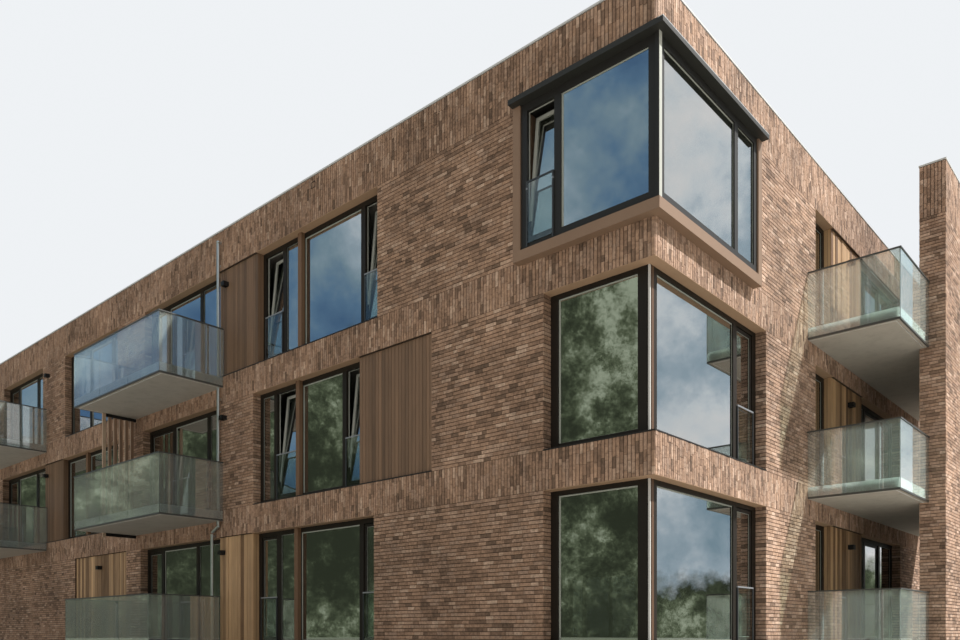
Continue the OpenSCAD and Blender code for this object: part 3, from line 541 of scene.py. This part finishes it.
def coated(name, color, roughness, metallic=0.0, strength=0.08, shine=0.5, others=()):
    """Coated or bare metal and other smooth finishes, with faint wear and texture.

    Each of the others is a mask and the colour that shows wherever the mask is 1.
    """
    made, tree, skin, place = material(name)
    for mask, other in others:
        color = mix_colors(tree, mask(tree, place), color, other)
    uneven = mottled(tree, place, color, cloud=1.3, grain=90.0, strength=strength)
    wear = noise(tree, place, 7.0, detail=5.0, roughness=0.5)
    worn = map_range(tree, wear, 0.0, 1.0, roughness + SMOOTHER, roughness + ROUGHER)
    set_skin(tree, skin, Base_Color=uneven["Color"], Specular_IOR_Level=shine,
             Roughness=worn, Metallic=metallic)
    add_bump(tree, skin, uneven["Height"], strength=0.12, distance=0.001)
    return made


def timber_material(name, dark, light, toned=True, spread=0.55, where=None, other=None):
    """Weathered timber; another colour, where there is one, shows wherever the mask is 1."""
    made, tree, skin, place = material(name)
    grain = wire(tree, "ShaderNodeGroup", {
        "Vector": place, "Tone": own_tone(tree) if toned else 0.5, "Spread": spread,
        "Dark": dark, "Light": light}, node_tree=TIMBER).outputs
    color = grain["Color"]
    if where:
        color = mix_colors(tree, where(tree, place), color, other)
    set_skin(tree, skin, Base_Color=rained(tree, place, color, strength=0.22), Roughness=0.62)
    add_bump(tree, skin, grain["Height"], strength=0.35, distance=0.002)
    return made


def concrete_material():
    """Fair-faced concrete with clouds, pores and rain marks; upright faces get painted light."""
    made, tree, skin, place = material("fair_concrete")
    # Upright faces take the paler colour: painted light.
    color = mix_colors(tree, upright_faces(tree, place), FLAT_CONCRETE, UPRIGHT_CONCRETE_PAINTED_LIGHT)
    uneven = mottled(tree, place, color, cloud=1.7, grain=70.0, strength=0.22)
    pores = wire(tree, "ShaderNodeTexVoronoi", {"Vector": place, "Scale": 38.0})
    pits = map_range(tree, pores.outputs["Distance"], PORE_FROM, PORE_TO)
    set_skin(tree, skin, Base_Color=rained(tree, place, uneven["Color"], strength=0.14),
             Roughness=0.82)
    add_bump(tree, skin, pits, strength=0.3, distance=0.002)
    return made


def glass_material(name, tint, ior, clear=1.0, coat=0.0, lets_sun_through=False):
    """Glass, faintly uneven as large panes are; less than clear glass is a little milky."""
    made, tree, skin, place = material(name)
    set_skin(tree, skin, Base_Color=tint, Transmission_Weight=clear, IOR=ior, Roughness=0.0,
             Coat_Weight=coat, Coat_IOR=MIRROR_COAT_IOR, Coat_Roughness=0.0)
    add_bump(tree, skin, noise(tree, place, 0.7, detail=1.0), strength=0.05, distance=0.01)
    if lets_sun_through:
        through = wire(tree, "ShaderNodeBsdfTransparent", {"Color": tint}).outputs[0]
        path = wire(tree, "ShaderNodeLightPath").outputs
        end = [n for n in tree.nodes if n.type == "OUTPUT_MATERIAL"][0]
        feed(tree, end.inputs["Surface"],
             mix_shaders(tree, path["Is Shadow Ray"], skin.outputs[0], through))
    return made


def roof_material():
    """A grey roof membrane with a low ridge at every lap."""
    made, tree, skin, place = material("roof_membrane")
    lane = maths(tree, "ABSOLUTE",
                 maths(tree, "MODULO", axes_of(tree, place)["X"], LAP_PITCH))
    lap = maths(tree, "LESS_THAN", lane, LAP_WIDTH)
    uneven = mottled(tree, place, MEMBRANE, cloud=0.5, grain=30.0, strength=0.3)
    set_skin(tree, skin, Base_Color=uneven["Color"], Roughness=0.8)
    add_bump(tree, skin, lap, strength=0.6, distance=0.006)
    return made


# The second copy is the same clay with every tone raised: painted sunlight on the side, end and
# screen walls.
BRICKS = {"brick_front": brick_material("clay_brick", (1.0, 1.0, 1.0)),
          "brick_side": brick_material("painted_sunlit_clay_brick", (1.19, 1.22, 1.28))}
WALL_SKIN = wall_material()
CONCRETE = concrete_material()
ROOFING = roof_material()
# Pale face, and a top painted darker: painted shade on the sunlit top.
COPING = coated("coping_sheet", (0.62, 0.64, 0.63), 0.45, strength=0.1,
                others=[(COPING_TOP_PAINTED_SHADE, (0.42, 0.44, 0.43))])
PALE_FRAME = (0.50, 0.52, 0.47)
BRONZE_FRAME = (0.130, 0.075, 0.046)
FRAME_DARK = coated("frame_coating", (0.021, 0.016, 0.012), 0.5, shine=0.25,
                    others=[(CORNER_POST, BRONZE_FRAME), (ROOM_SIDE, PALE_FRAME)])
SASH = coated("sash_coating", (0.021, 0.017, 0.014), 0.5, shine=0.25,
              others=[(either(ROOM_SIDE, BAY_SASH_INSIDE), PALE_FRAME)])
# Dark outside, pale inside, with a painted highlight on the faces towards +X.
BAY_FRAME = coated("bay_frame_coating", (0.026, 0.025, 0.024), 0.5, shine=0.3,
                   others=[(BAY_INNER_AND_PAINTED_LIT_FACES, PALE_FRAME)])
COVER = coated("cover_strip", (0.58, 0.58, 0.55), 0.4)
SEAL = coated("glazing_seal", (0.40, 0.43, 0.38), 0.5)
CASING = coated("casing_coating", (0.270, 0.180, 0.122), 0.55, strength=0.2, shine=0.3)
# Dark canopy with a painted highlight on the top of its edge towards +X.
CANOPY = coated("canopy_coating", (0.036, 0.036, 0.033), 0.5, shine=0.3,
                others=[(CANOPY_SIDE_EDGE_PAINTED_LIGHT, (0.45, 0.47, 0.48))])
POST = coated("post_coating", (0.185, 0.108, 0.062), 0.5, strength=0.25, shine=0.3)
RAIL = coated("rail_metal", (0.095, 0.100, 0.096), 0.4, metallic=0.3,
              others=[(BELOW_HANDRAIL, (0.52, 0.54, 0.55))])
SILL = coated("sill_sheet", (0.032, 0.028, 0.026), 0.45, metallic=0.2, shine=0.3)
JULIET = coated("juliet_metal", (0.060, 0.065, 0.070), 0.4, metallic=0.3,
                others=[(JULIET_TOP_RAIL, (0.30, 0.32, 0.34))])
# Pale zinc, with the pipes near the corner painted near-black: painted shade for the overflow's
# dark opening.
ZINC = coated("zinc_pipe", (0.62, 0.65, 0.66), 0.32, metallic=0.85, strength=0.2,
              others=[(CORNER_PIPES_PAINTED_SHADE, (0.03, 0.028, 0.025))])
LAMP = coated("lamp_coating", (0.012, 0.012, 0.013), 0.45, shine=0.3)
SOFFIT = coated("soffit_board", (0.48, 0.315, 0.20), 0.7, strength=0.3)
BACKING = coated("board_backing", (0.025, 0.018, 0.013), 0.9)
SLAT = timber_material("slat_timber", (0.128, 0.077, 0.045), (0.300, 0.182, 0.107))
BOARD = timber_material("board_timber", (0.180, 0.098, 0.046), (0.660, 0.430, 0.230),
                        spread=1.05)
# Fin faces towards -Y are painted paler, a painted highlight; the outermost fin is pale all over.
FIN = timber_material("fin_timber", (0.17, 0.105, 0.066), (0.46, 0.30, 0.20), toned=False,
                      where=FIN_OUTER_AND_PAINTED_LIT_FACES, other=(0.52, 0.39, 0.28))
PANE = glass_material("window_glass", (0.20, 0.24, 0.22), 3.0, coat=1.0)
CLEAR_TINT = (0.80, 0.87, 0.84)
RAIL_GLASS = glass_material("balustrade_glass", CLEAR_TINT, 2.8, 0.86, lets_sun_through=True)
JULIET_GLASS = glass_material("juliet_glass", CLEAR_TINT, 1.6, lets_sun_through=True)

GLAZING = ("corner_window_glass", "bay_glass", "front_window_glass", "side_window_glass",
           "rear_window_glass")


def dress_nodes():
    """Gives every node of the model its material."""
    walls = [f"{face}_wall_{level}" for face in ("front", "side", "rear", "end")
             for level in LEVELS]
    finishes = {
        WALL_SKIN: ["plinth", "parapet", "screen_wall", *walls],
        COPING: ["wall_copings"],
        CONCRETE: ["ground_floor_slab", "first_floor_slab", "second_floor_slab", "roof_slab",
                   "front_balcony_slabs", "side_balcony_slabs"],
        ROOFING: ["roof_covering"],
        RAIL_GLASS: ["balcony_glass"],
        JULIET_GLASS: ["juliet_glass"],
        RAIL: ["balcony_rails"],
        SILL: ["window_sills"],
        JULIET: ["juliet_rails"],
        FIN: ["privacy_fins"],
        LAMP: ["fin_channels", "wall_lamps"],
        FRAME_DARK: ["corner_window_frames", "front_window_frames",
                     "side_window_frames", "rear_window_frames"],
        SASH: ["sashes"],
        BAY_FRAME: ["bay_frame"],
        PANE: GLAZING,
        CASING: ["bay_casing"],
        CANOPY: ["bay_canopy"],
        POST: ["room_posts"],
        BACKING: ["slat_panels", "board_panels"],
        ZINC: ["rainwater_pipes"],
    }
    for finish, names in finishes.items():
        for name in names:
            nodes[name].data.materials.clear()
            nodes[name].data.materials.append(finish)
    missing = set(nodes) - {n for names in finishes.values() for n in names}
    if missing:
        raise ValueError(f"nodes without a finish: {sorted(missing)}")


# Geometry Nodes trees: a field spans X from 0 to Width and Z from 0 to Height, and faces -Y

WOBBLE = 0.007
TILTS = (0.012, 0.004, 0.006)
LONG_BRICKS = 0.55
SPARE_BRICKS = 4.0
WOBBLE_SEED, DEPTH_SEED, TILT_SEED, TONE_SEED = 11, 5, 6, 3.0


def field_tree(name, sizes):
    """A tree for one field, with its named sizes, a seed and a material."""
    return node_group(
        name, "GeometryNodeTree",
        [("Width", FLOAT, 1.0), ("Height", FLOAT, 1.0), *sizes, ("Seed", INTEGER, 1),
         ("Material", MATERIAL, None)], [("Geometry", "NodeSocketGeometry")])


def enabled(sockets, name):
    """The socket of a name that a node's present type uses."""
    return [s for s in sockets if s.enabled and s.name == name][0]


def random_number(tree, low, high, ident, seed):
    """A random number for each ident, always the same for one seed."""
    made = wire(tree, "FunctionNodeRandomValue", {"ID": ident, "Seed": seed},
                data_type="FLOAT")
    feed(tree, enabled(made.inputs, "Min"), low)
    feed(tree, enabled(made.inputs, "Max"), high)
    return enabled(made.outputs, "Value")


def index_of(tree):
    """The number of each point or instance."""
    return wire(tree, "GeometryNodeInputIndex").outputs[0]


def even_split(tree, length, part):
    """How many parts of about a size fill a length, and the size that fills it exactly."""
    count = maths(tree, "MAXIMUM", maths(tree, "ROUND", maths(
        tree, "DIVIDE", length, part)), 1.0)
    return count, maths(tree, "DIVIDE", length, count)


def lay_blocks(tree, ins, out, count, spot, size, **more):
    """Ends a field: one block a point, each with its own tone, made real and given a finish."""
    points = wire(tree, "GeometryNodePoints", {"Count": count}).outputs[0]
    placed = wire(tree, "GeometryNodeSetPosition", {"Geometry": points, "Position": spot})
    block = wire(tree, "GeometryNodeMeshCube", {"Size": (1, 1, 1)})
    blocks = wire(tree, "GeometryNodeInstanceOnPoints", {
        "Points": placed.outputs[0], "Instance": block.outputs[0], "Scale": size, **more})
    toned = wire(tree, "GeometryNodeStoreNamedAttribute",
                 {"Geometry": blocks.outputs[0], "Name": "tone"},
                 data_type="FLOAT", domain="INSTANCE")
    seed = maths(tree, "ADD", ins["Seed"], TONE_SEED)
    feed(tree, enabled(toned.inputs, "Value"),
         random_number(tree, 0.0, 1.0, index_of(tree), seed))
    real = wire(tree, "GeometryNodeRealizeInstances", {"Geometry": toned.outputs[0]})
    skin = wire(tree, "GeometryNodeSetMaterial",
                {"Geometry": real.outputs[0], "Material": ins["Material"]})
    feed(tree, out["Geometry"], skin.outputs[0])


def brick_field_tree():
    """Courses of bricks of random lengths over a rectangle, each its own closed block."""
    tree, ins, out = field_tree("brick field", [
        ("Course", FLOAT, COURSE), ("Joint", FLOAT, JOINT), ("Butt Joint", FLOAT, BUTT_JOINT),
        ("Shortest", FLOAT, 0.10), ("Longest", FLOAT, 0.222),
        ("Smallest Piece", FLOAT, 0.05), ("Proud", FLOAT, PROUD), ("Uneven", FLOAT, 0.005)])
    calc = functools.partial(maths, tree)
    draw = functools.partial(random_number, tree)
    width, least = ins["Width"], ins["Smallest Piece"]
    rows, pitch = even_split(tree, ins["Height"], ins["Course"])
    per_row = calc("ADD", calc("CEIL", calc("DIVIDE", width, ins["Shortest"])), SPARE_BRICKS)
    index = index_of(tree)
    row = calc("FLOOR", calc("DIVIDE", calc("ADD", index, 0.5), per_row))
    # Each brick is short, middling or long, and starts where the one before it ends
    pick = calc("POWER", draw(0.0, 1.0, index, ins["Seed"]), LONG_BRICKS)
    step = calc("DIVIDE", calc("ROUND", calc("MULTIPLY", pick, 2.0)), 2.0)
    span = calc("SUBTRACT", ins["Longest"], ins["Shortest"])
    length = calc("MULTIPLY_ADD", step, span, ins["Shortest"])
    length = calc("ADD", length, draw(-WOBBLE, WOBBLE, index, WOBBLE_SEED))
    offset = draw(0.0, ins["Longest"], row, ins["Seed"])
    running = wire(tree, "GeometryNodeAccumulateField", {0: length, "Group ID": row},
                   data_type="FLOAT", domain="POINT")
    ends = calc("SUBTRACT", running.outputs[0], offset)
    starts = calc("SUBTRACT", running.outputs[1], offset)
    # A cut piece under the smallest is dropped, and its neighbour reaches the field's end
    early = calc("LESS_THAN", starts, least)
    late = calc("LESS_THAN", calc("SUBTRACT", width, ends), least)
    starts_in = calc("MULTIPLY", starts, calc("SUBTRACT", 1.0, early))
    ends_in = wire(tree, "ShaderNodeMix", {0: late, 2: ends, 3: width},
                   data_type="FLOAT").outputs[0]
    gone = calc("LESS_THAN", ends, least)
    past = calc("GREATER_THAN", starts, calc("SUBTRACT", width, least))
    kept = calc("LESS_THAN", calc("MAXIMUM", gone, past), 0.5)
    out_by = calc("MULTIPLY_ADD", draw(-0.5, 0.5, index, DEPTH_SEED), ins["Uneven"],
                  ins["Proud"])
    deep = calc("ADD", out_by, BEDDED)
    size = vector_of(
        tree, calc("SUBTRACT", calc("SUBTRACT", ends_in, starts_in), ins["Butt Joint"]),
        deep, calc("SUBTRACT", pitch, ins["Joint"]))
    spot = vector_of(
        tree, calc("MULTIPLY", calc("ADD", starts_in, ends_in), 0.5),
        calc("MULTIPLY_ADD", deep, -0.5, BEDDED),
        calc("MULTIPLY", calc("ADD", row, 0.5), pitch))
    turn = vector_of(tree, *(draw(-tilt, tilt, index, TILT_SEED + number)
                             for number, tilt in enumerate(TILTS)))
    lay_blocks(tree, ins, out, calc("MULTIPLY", rows, per_row), spot, size,
               Rotation=turn, Selection=kept)
    return tree


def board_field_tree():
    """Upright boards side by side over a rectangle, with a gap between them."""
    tree, ins, out = field_tree("board field", [
        ("Board", FLOAT, 0.1), ("Gap", FLOAT, 0.008), ("Thick", FLOAT, 0.018),
        ("Uneven", FLOAT, 0.0)])
    calc = functools.partial(maths, tree)
    count, pitch = even_split(tree, ins["Width"], ins["Board"])
    index = index_of(tree)
    deep = calc("MULTIPLY_ADD", random_number(tree, 0.0, 1.0, index, ins["Seed"]),
                ins["Uneven"], ins["Thick"])
    spot = vector_of(tree, calc("MULTIPLY", calc("ADD", index, 0.5), pitch),
                     calc("MULTIPLY", deep, -0.5), calc("MULTIPLY", ins["Height"], 0.5))
    size = vector_of(tree, calc("SUBTRACT", pitch, ins["Gap"]), deep, ins["Height"])
    lay_blocks(tree, ins, out, count, spot, size)
    return tree


SEED_STEP = 7


def run_fields(name, tree, fields, finish):
    """Makes one piece from many fields, each given as its inputs and its place."""
    keys = {item.name: item.identifier for item in tree.interface.items_tree
            if item.item_type == "SOCKET" and item.in_out == "INPUT"}
    holders = []
    for number, (values, place) in enumerate(fields):
        holder = bpy.data.objects.new(f"{name}_{number}", bpy.data.meshes.new(name))
        bpy.context.scene.collection.objects.link(holder)
        modifier = holder.modifiers.new("field", "NODES")
        modifier.node_group = tree
        for key, value in dict(values, Seed=number * SEED_STEP + 1, Material=finish).items():
            modifier[keys[key]] = value
        holders.append((holder, place))
    graph = bpy.context.evaluated_depsgraph_get()
    points, faces, tones, base = [], [], [], 0
    for holder, place in holders:
        mesh = bpy.data.meshes.new_from_object(
            holder.evaluated_get(graph), preserve_all_data_layers=True, depsgraph=graph)
        mesh.transform(place)
        count = len(mesh.vertices)
        spots = np.empty(count * 3, np.float32)
        mesh.vertices.foreach_get("co", spots)
        corners = np.empty(len(mesh.loops), np.int32)
        mesh.loops.foreach_get("vertex_index", corners)
        tone = np.empty(count, np.float32)
        mesh.attributes["tone"].data.foreach_get("value", tone)
        points.append(spots.reshape(-1, 3))
        faces.append(corners.reshape(-1, 4) + base)
        tones.append(tone)
        base += count
        bpy.data.meshes.remove(mesh)
    for holder, place in holders:
        empty = holder.data
        bpy.data.objects.remove(holder)
        bpy.data.meshes.remove(empty)
    make_piece(name, np.concatenate(points), np.concatenate(faces), finish,
               np.concatenate(tones))


def make_piece(name, points, quads, finish, tones=None):
    """A mesh object of four-cornered faces that rides on the block."""
    mesh = bpy.data.meshes.new(name)
    mesh.from_pydata(points.tolist(), [], quads.tolist())
    if tones is not None:
        layer = mesh.attributes.new("tone", "FLOAT", "POINT")
        layer.data.foreach_set("value", tones)
    mesh.materials.append(finish)
    mesh.update()
    piece = bpy.data.objects.new(name, mesh)
    bpy.context.scene.collection.objects.link(piece)
    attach(piece, "root")


# Facades: local X runs to the right as seen from outside, local Y into the wall

BUTTS = 0.01
NARROWEST_PIER = 0.02
EDGE_CLEAR = 0.1


def turned(x, y, degrees, z=0.0):
    """A place turned about the upright axis."""
    return Matrix.Translation((x, y, z)) @ Matrix.Rotation(math.radians(degrees), 4, "Z")


def flat(x, z, depth=0.0):
    """Place of a field whose courses run along the facade."""
    return Matrix.Translation((x, depth, z))


def upright(x, z, width):
    """Place of a field whose courses stand on end over a stretch of that width."""
    return (Matrix.Translation((x + width, 0, z))
            @ Matrix.Rotation(math.radians(-90), 4, "Y"))


# (place, rows, left end, right end, whether its bricks turn the corners)
FACES = {
    "front": (turned(0, 0, 0), FRONT_ROWS, -LENGTH, 0.0, True),
    "side": (turned(0, 0, 90), SIDE_ROWS, 0.0, DEPTH, False),
    "rear": (turned(0, DEPTH, 180), REAR_ROWS, 0.0, LENGTH, True),
    "end": (turned(-LENGTH, 0, -90), END_ROWS, -DEPTH, 0.0, False),
}


def items_of(face, storey):
    """(kind, left, right, butts on the left, butts on the right) of what isn't brick."""
    _, rows, left, *_ = FACES[face]
    at, found = 0.0, []
    for kind, width in rows[storey]:
        if kind != "brick":
            found.append((kind, -(at + width), -at) if left < 0 else (kind, at, at + width))
        at += width
    found.sort(key=lambda item: item[1])
    butts = [abs(one[2] - next_one[1]) < BUTTS for one, next_one in zip(found, found[1:])]
    return [(*item, *ends) for item, ends in zip(found, zip([False, *butts], [*butts, False]))]


def brick_fields(face):
    """The fields of brickwork on a facade: the plinth's, then each storey's."""
    to_world, _, left, right, corners = FACES[face]
    grow = PROUD if corners else 0.0
    left, right = left - grow, right + grow
    whole = right - left

    def field(width, height, place):
        return {"Width": width, "Height": height}, to_world @ place

    plinth = [field(whole, PLINTH_COURSED, flat(left, 0.0)),
              field(PLINTH_BAND, whole, upright(left, PLINTH_COURSED, whole))]
    storeys = []
    for storey, sill in enumerate(SILLS):
        items = items_of(face, storey)
        piers, at = [], left
        for x0, x1 in [item[1:3] for item in items] + [(right, right)]:
            if x0 - at > NARROWEST_PIER:
                piers.append(field(x0 - at, OPENING, flat(at, sill)))
            at = x1
        head = sill + OPENING
        band = [field(BAND_TOPS[storey] - head, whole, upright(left, head, whole))]
        jambs = []
        for kind, x0, x1, butts_left, butts_right in items:
            if kind not in ("glazed", "corner"):
                continue
            if not butts_left and x0 - left > EDGE_CLEAR:
                jambs.append(field(RECESS + PROUD, OPENING, turned(x0, -PROUD, 90, sill)))
            if not butts_right and right - x1 > EDGE_CLEAR:
                jambs.append(field(RECESS + PROUD, OPENING, turned(x1, RECESS, -90, sill)))
        storeys.append(piers + band + jambs)
    return plinth, storeys


def lay_bricks():
    """The brickwork of the four facades and of the screen wall."""
    tree = brick_field_tree()
    for face in FACES:
        # The side, end and screen walls take the copy with painted sunlight.
        slot = "brick_front" if face in ("front", "rear") else "brick_side"
        plinth, storeys = brick_fields(face)
        storeys[0] = plinth + storeys[0]
        for level, fields in zip(LEVELS, storeys):
            run_fields(f"bricks_{face}_{level}", tree, fields, BRICKS[slot])
    low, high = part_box("screen_wall")
    walls = (
        ("outer", turned(high[0], 0, 90), low[1] - PROUD, high[1] + PROUD),
        ("inner", turned(low[0], 0, -90), -high[1] - PROUD, -low[1] + PROUD),
        ("ends", turned(low[0], low[1], 0), 0.0, high[0] - low[0]),
        ("ends", turned(high[0], high[1], 180), 0.0, high[0] - low[0]),
    )
    coursed = high[2] - SCREEN_BAND
    groups = {}
    for name, to_world, left, right in walls:
        whole = right - left
        groups.setdefault(name, []).extend([
            ({"Width": whole, "Height": coursed}, to_world @ flat(left, 0.0)),
            ({"Width": SCREEN_BAND - SHADOW_GAP, "Height": whole},
             to_world @ upright(left, coursed, whole))])
    for name, fields in groups.items():
        run_fields(f"bricks_screen_{name}", tree, fields, BRICKS["brick_side"])


# Timber over the panels: it stands clear of the sills and heads, and laps over the windows
TIMBER_LIFT = 0.02
TIMBER_CLEAR = 0.03
TIMBER_LAP = 0.008
PROFILES = {"slats": {"Board": 0.088, "Uneven": 0.0, "Thick": 0.012},
            "boards": {"Board": 0.125, "Uneven": 0.012, "Thick": 0.012},
            "return": {"Board": 0.07, "Thick": 0.006}}


def timber_field(profile, width, place):
    """A field of one profile, as high as the panels."""
    return {"Width": width, "Height": OPENING - TIMBER_CLEAR, **PROFILES[profile]}, place


def nail_boards():
    """Slats and boards over the timber panels, and on their returns at the windows."""
    tree = board_field_tree()
    fields = {"slats": [], "boards": [], "side": []}
    for face in ("front", "side"):
        to_world = FACES[face][0]
        for storey, sill in enumerate(SILLS):
            foot = sill + TIMBER_LIFT
            for kind, x0, x1, butts_left, butts_right in items_of(face, storey):
                if kind not in ("slats", "boards"):
                    continue
                group = fields["side" if face == "side" else kind]
                group.append(timber_field(kind, x1 - x0,
                                          to_world @ flat(x0, foot, PANEL_BACK)))
                deep = RECESS - PANEL_BACK + TIMBER_LAP
                lap = PANEL_BACK - TIMBER_LAP
                if butts_left:
                    group.append(timber_field(
                        "return", deep, to_world @ turned(x0, RECESS, -90, foot)))
                if butts_right:
                    group.append(timber_field(
                        "return", deep, to_world @ turned(x1, lap, 90, foot)))
    run_fields("slats_front", tree, fields["slats"], SLAT)
    run_fields("boards_front", tree, fields["boards"], BOARD)
    run_fields("boards_side", tree, fields["side"], BOARD)


# Small pieces from boxes

CORNERS = np.array([(x, y, z) for x in (0, 1) for y in (0, 1) for z in (0, 1)], float)
SIDES = np.array([(0, 1, 3, 2), (4, 6, 7, 5), (0, 4, 5, 1), (2, 3, 7, 6), (0, 2, 6, 4),
                  (1, 5, 7, 3)])
SOFFIT_THICK = 0.006
SOFFIT_CLEAR = 0.001
HAIRLINE = 0.0005
COVER_LAP, COVER_WIDTH = 0.004, 0.028
SEAL_THICK = 0.004
SLIM_SEALS = (0.006, 0.006, 0.006, 0.006)
LARGE_SEALS = (0.032, 0.008, 0.008, 0.022)
LARGE_PANE = 1.2
PANE_THICK = 0.03
CENTRE = (-LENGTH / 2, DEPTH / 2)


def boxes_piece(name, boxes, finish):
    """One piece from many boxes, each given by its lowest and highest corner."""
    points = np.concatenate([np.array(a) + CORNERS * (np.array(b) - np.array(a))
                             for a, b in boxes])
    quads = np.concatenate([SIDES + 8 * n for n in range(len(boxes))])
    make_piece(name, points, quads, finish)


def islands(node):
    """(lowest, highest corner) of each separate solid of a node."""
    mesh = nodes[node].data
    spots = np.array([v.co for v in mesh.vertices])
    _, same = np.unique(np.round(spots, 4), axis=0, return_inverse=True)
    same = same.ravel()
    parent = list(range(same.max() + 1))

    def root(a):
        while parent[a] != a:
            parent[a] = parent[parent[a]]
            a = parent[a]
        return a

    for face in mesh.polygons:
        first = root(same[face.vertices[0]])
        for v in face.vertices[1:]:
            parent[root(same[v])] = first
    groups = {}
    for number, code in enumerate(same):
        groups.setdefault(root(code), []).append(number)
    return [(spots[g].min(0), spots[g].max(0)) for g in groups.values()]


def line_soffits():
    """A smooth strip under the brickwork at the head of every window."""
    boxes = []
    for face, (to_world, *_) in FACES.items():
        for storey, sill in enumerate(SILLS):
            head = sill + OPENING
            for kind, x0, x1, *_ in items_of(face, storey):
                if kind not in ("glazed", "corner"):
                    continue
                near = RECESS if kind == "corner" and face == "side" else 0.0
                grow = PROUD if kind == "corner" and face == "front" else 0.0
                ends = [to_world @ Vector((x0 + near, -PROUD, head - SOFFIT_THICK)),
                        to_world @ Vector((x1 + grow, RECESS - SOFFIT_CLEAR, head - HAIRLINE))]
                boxes.append((np.minimum(*ends), np.maximum(*ends)))
    boxes_piece("window_soffits", boxes, SOFFIT)


def cover_corner_joints():
    """A slim pale strip where the two frames of a corner window meet, on the lower floors."""
    outer = RECESS + COVER_LAP
    inner = outer + COVER_WIDTH
    boxes = [((-inner, outer, sill + COVER_LAP), (-outer, inner, sill + OPENING - SOFFIT_THICK))
             for sill in SILLS[:2]]
    boxes_piece("corner_cover_strips", boxes, COVER)


def edge_strip(low, high, axis, width, at_high_end):
    """The strip of a box that lies along one of its ends on an axis."""
    low, high = low.copy(), high.copy()
    if at_high_end:
        low[axis] = high[axis] - width
    else:
        high[axis] = low[axis] + width
    return low, high


def seal_panes():
    """Slim pale seals round every upright pane, on its outer face."""
    boxes = []
    for low, high in (pane for node in GLAZING for pane in islands(node)):
        size = high - low
        thin, across = (0, 1) if size[0] < size[1] else (1, 0)
        if size[thin] > PANE_THICK:
            continue
        large = min(size[across], size[2]) > LARGE_PANE
        left, right, foot, top = LARGE_SEALS if large else SLIM_SEALS
        if (low[thin] + high[thin]) / 2 < CENTRE[thin]:
            low[thin], high[thin] = low[thin] - SEAL_THICK, low[thin]
        else:
            low[thin], high[thin] = high[thin], high[thin] + SEAL_THICK
        between_low, between_high = low.copy(), high.copy()
        between_low[across] += left
        between_high[across] -= right
        for at_high_end, upright_width, level_width in ((0, left, foot), (1, right, top)):
            boxes.append(edge_strip(low, high, across, upright_width, at_high_end))
            boxes.append(edge_strip(between_low, between_high, 2, level_width, at_high_end))
    boxes_piece("glazing_seals", boxes, SEAL)


FLOOR_REACH = 400.0
FLOOR_LIT = (0.41, 0.388, 0.352)
FLOOR_MIRRORED = (0.12, 0.14, 0.09)
FLOOR_SHOWN = (0.44, 0.45, 0.46)


def lay_floor():
    """A plain pale floor that is not part of the block."""
    mesh = bpy.data.meshes.new("studio_floor")
    mesh.from_pydata([(x * FLOOR_REACH, y * FLOOR_REACH, 0)
                      for x, y in ((-1, -1), (1, -1), (1, 1), (-1, 1))], [], [(0, 1, 2, 3)])
    made, tree, skin, _ = material("studio_floor")
    shown, mirrored = ray_kinds(tree)
    color = mix_colors(tree, mirrored, FLOOR_LIT, FLOOR_MIRRORED)
    set_skin(tree, skin, Base_Color=mix_colors(tree, shown, color, FLOOR_SHOWN),
             Roughness=0.9)
    mesh.materials.append(made)
    floor = bpy.data.objects.new("studio_floor", mesh)
    bpy.context.scene.collection.objects.link(floor)


place_camera()
light_scene()
dress_nodes()
lay_bricks()
nail_boards()
line_soffits()
cover_corner_joints()
seal_panes()
lay_floor()
bpy.context.scene.view_settings.view_transform = "Standard"
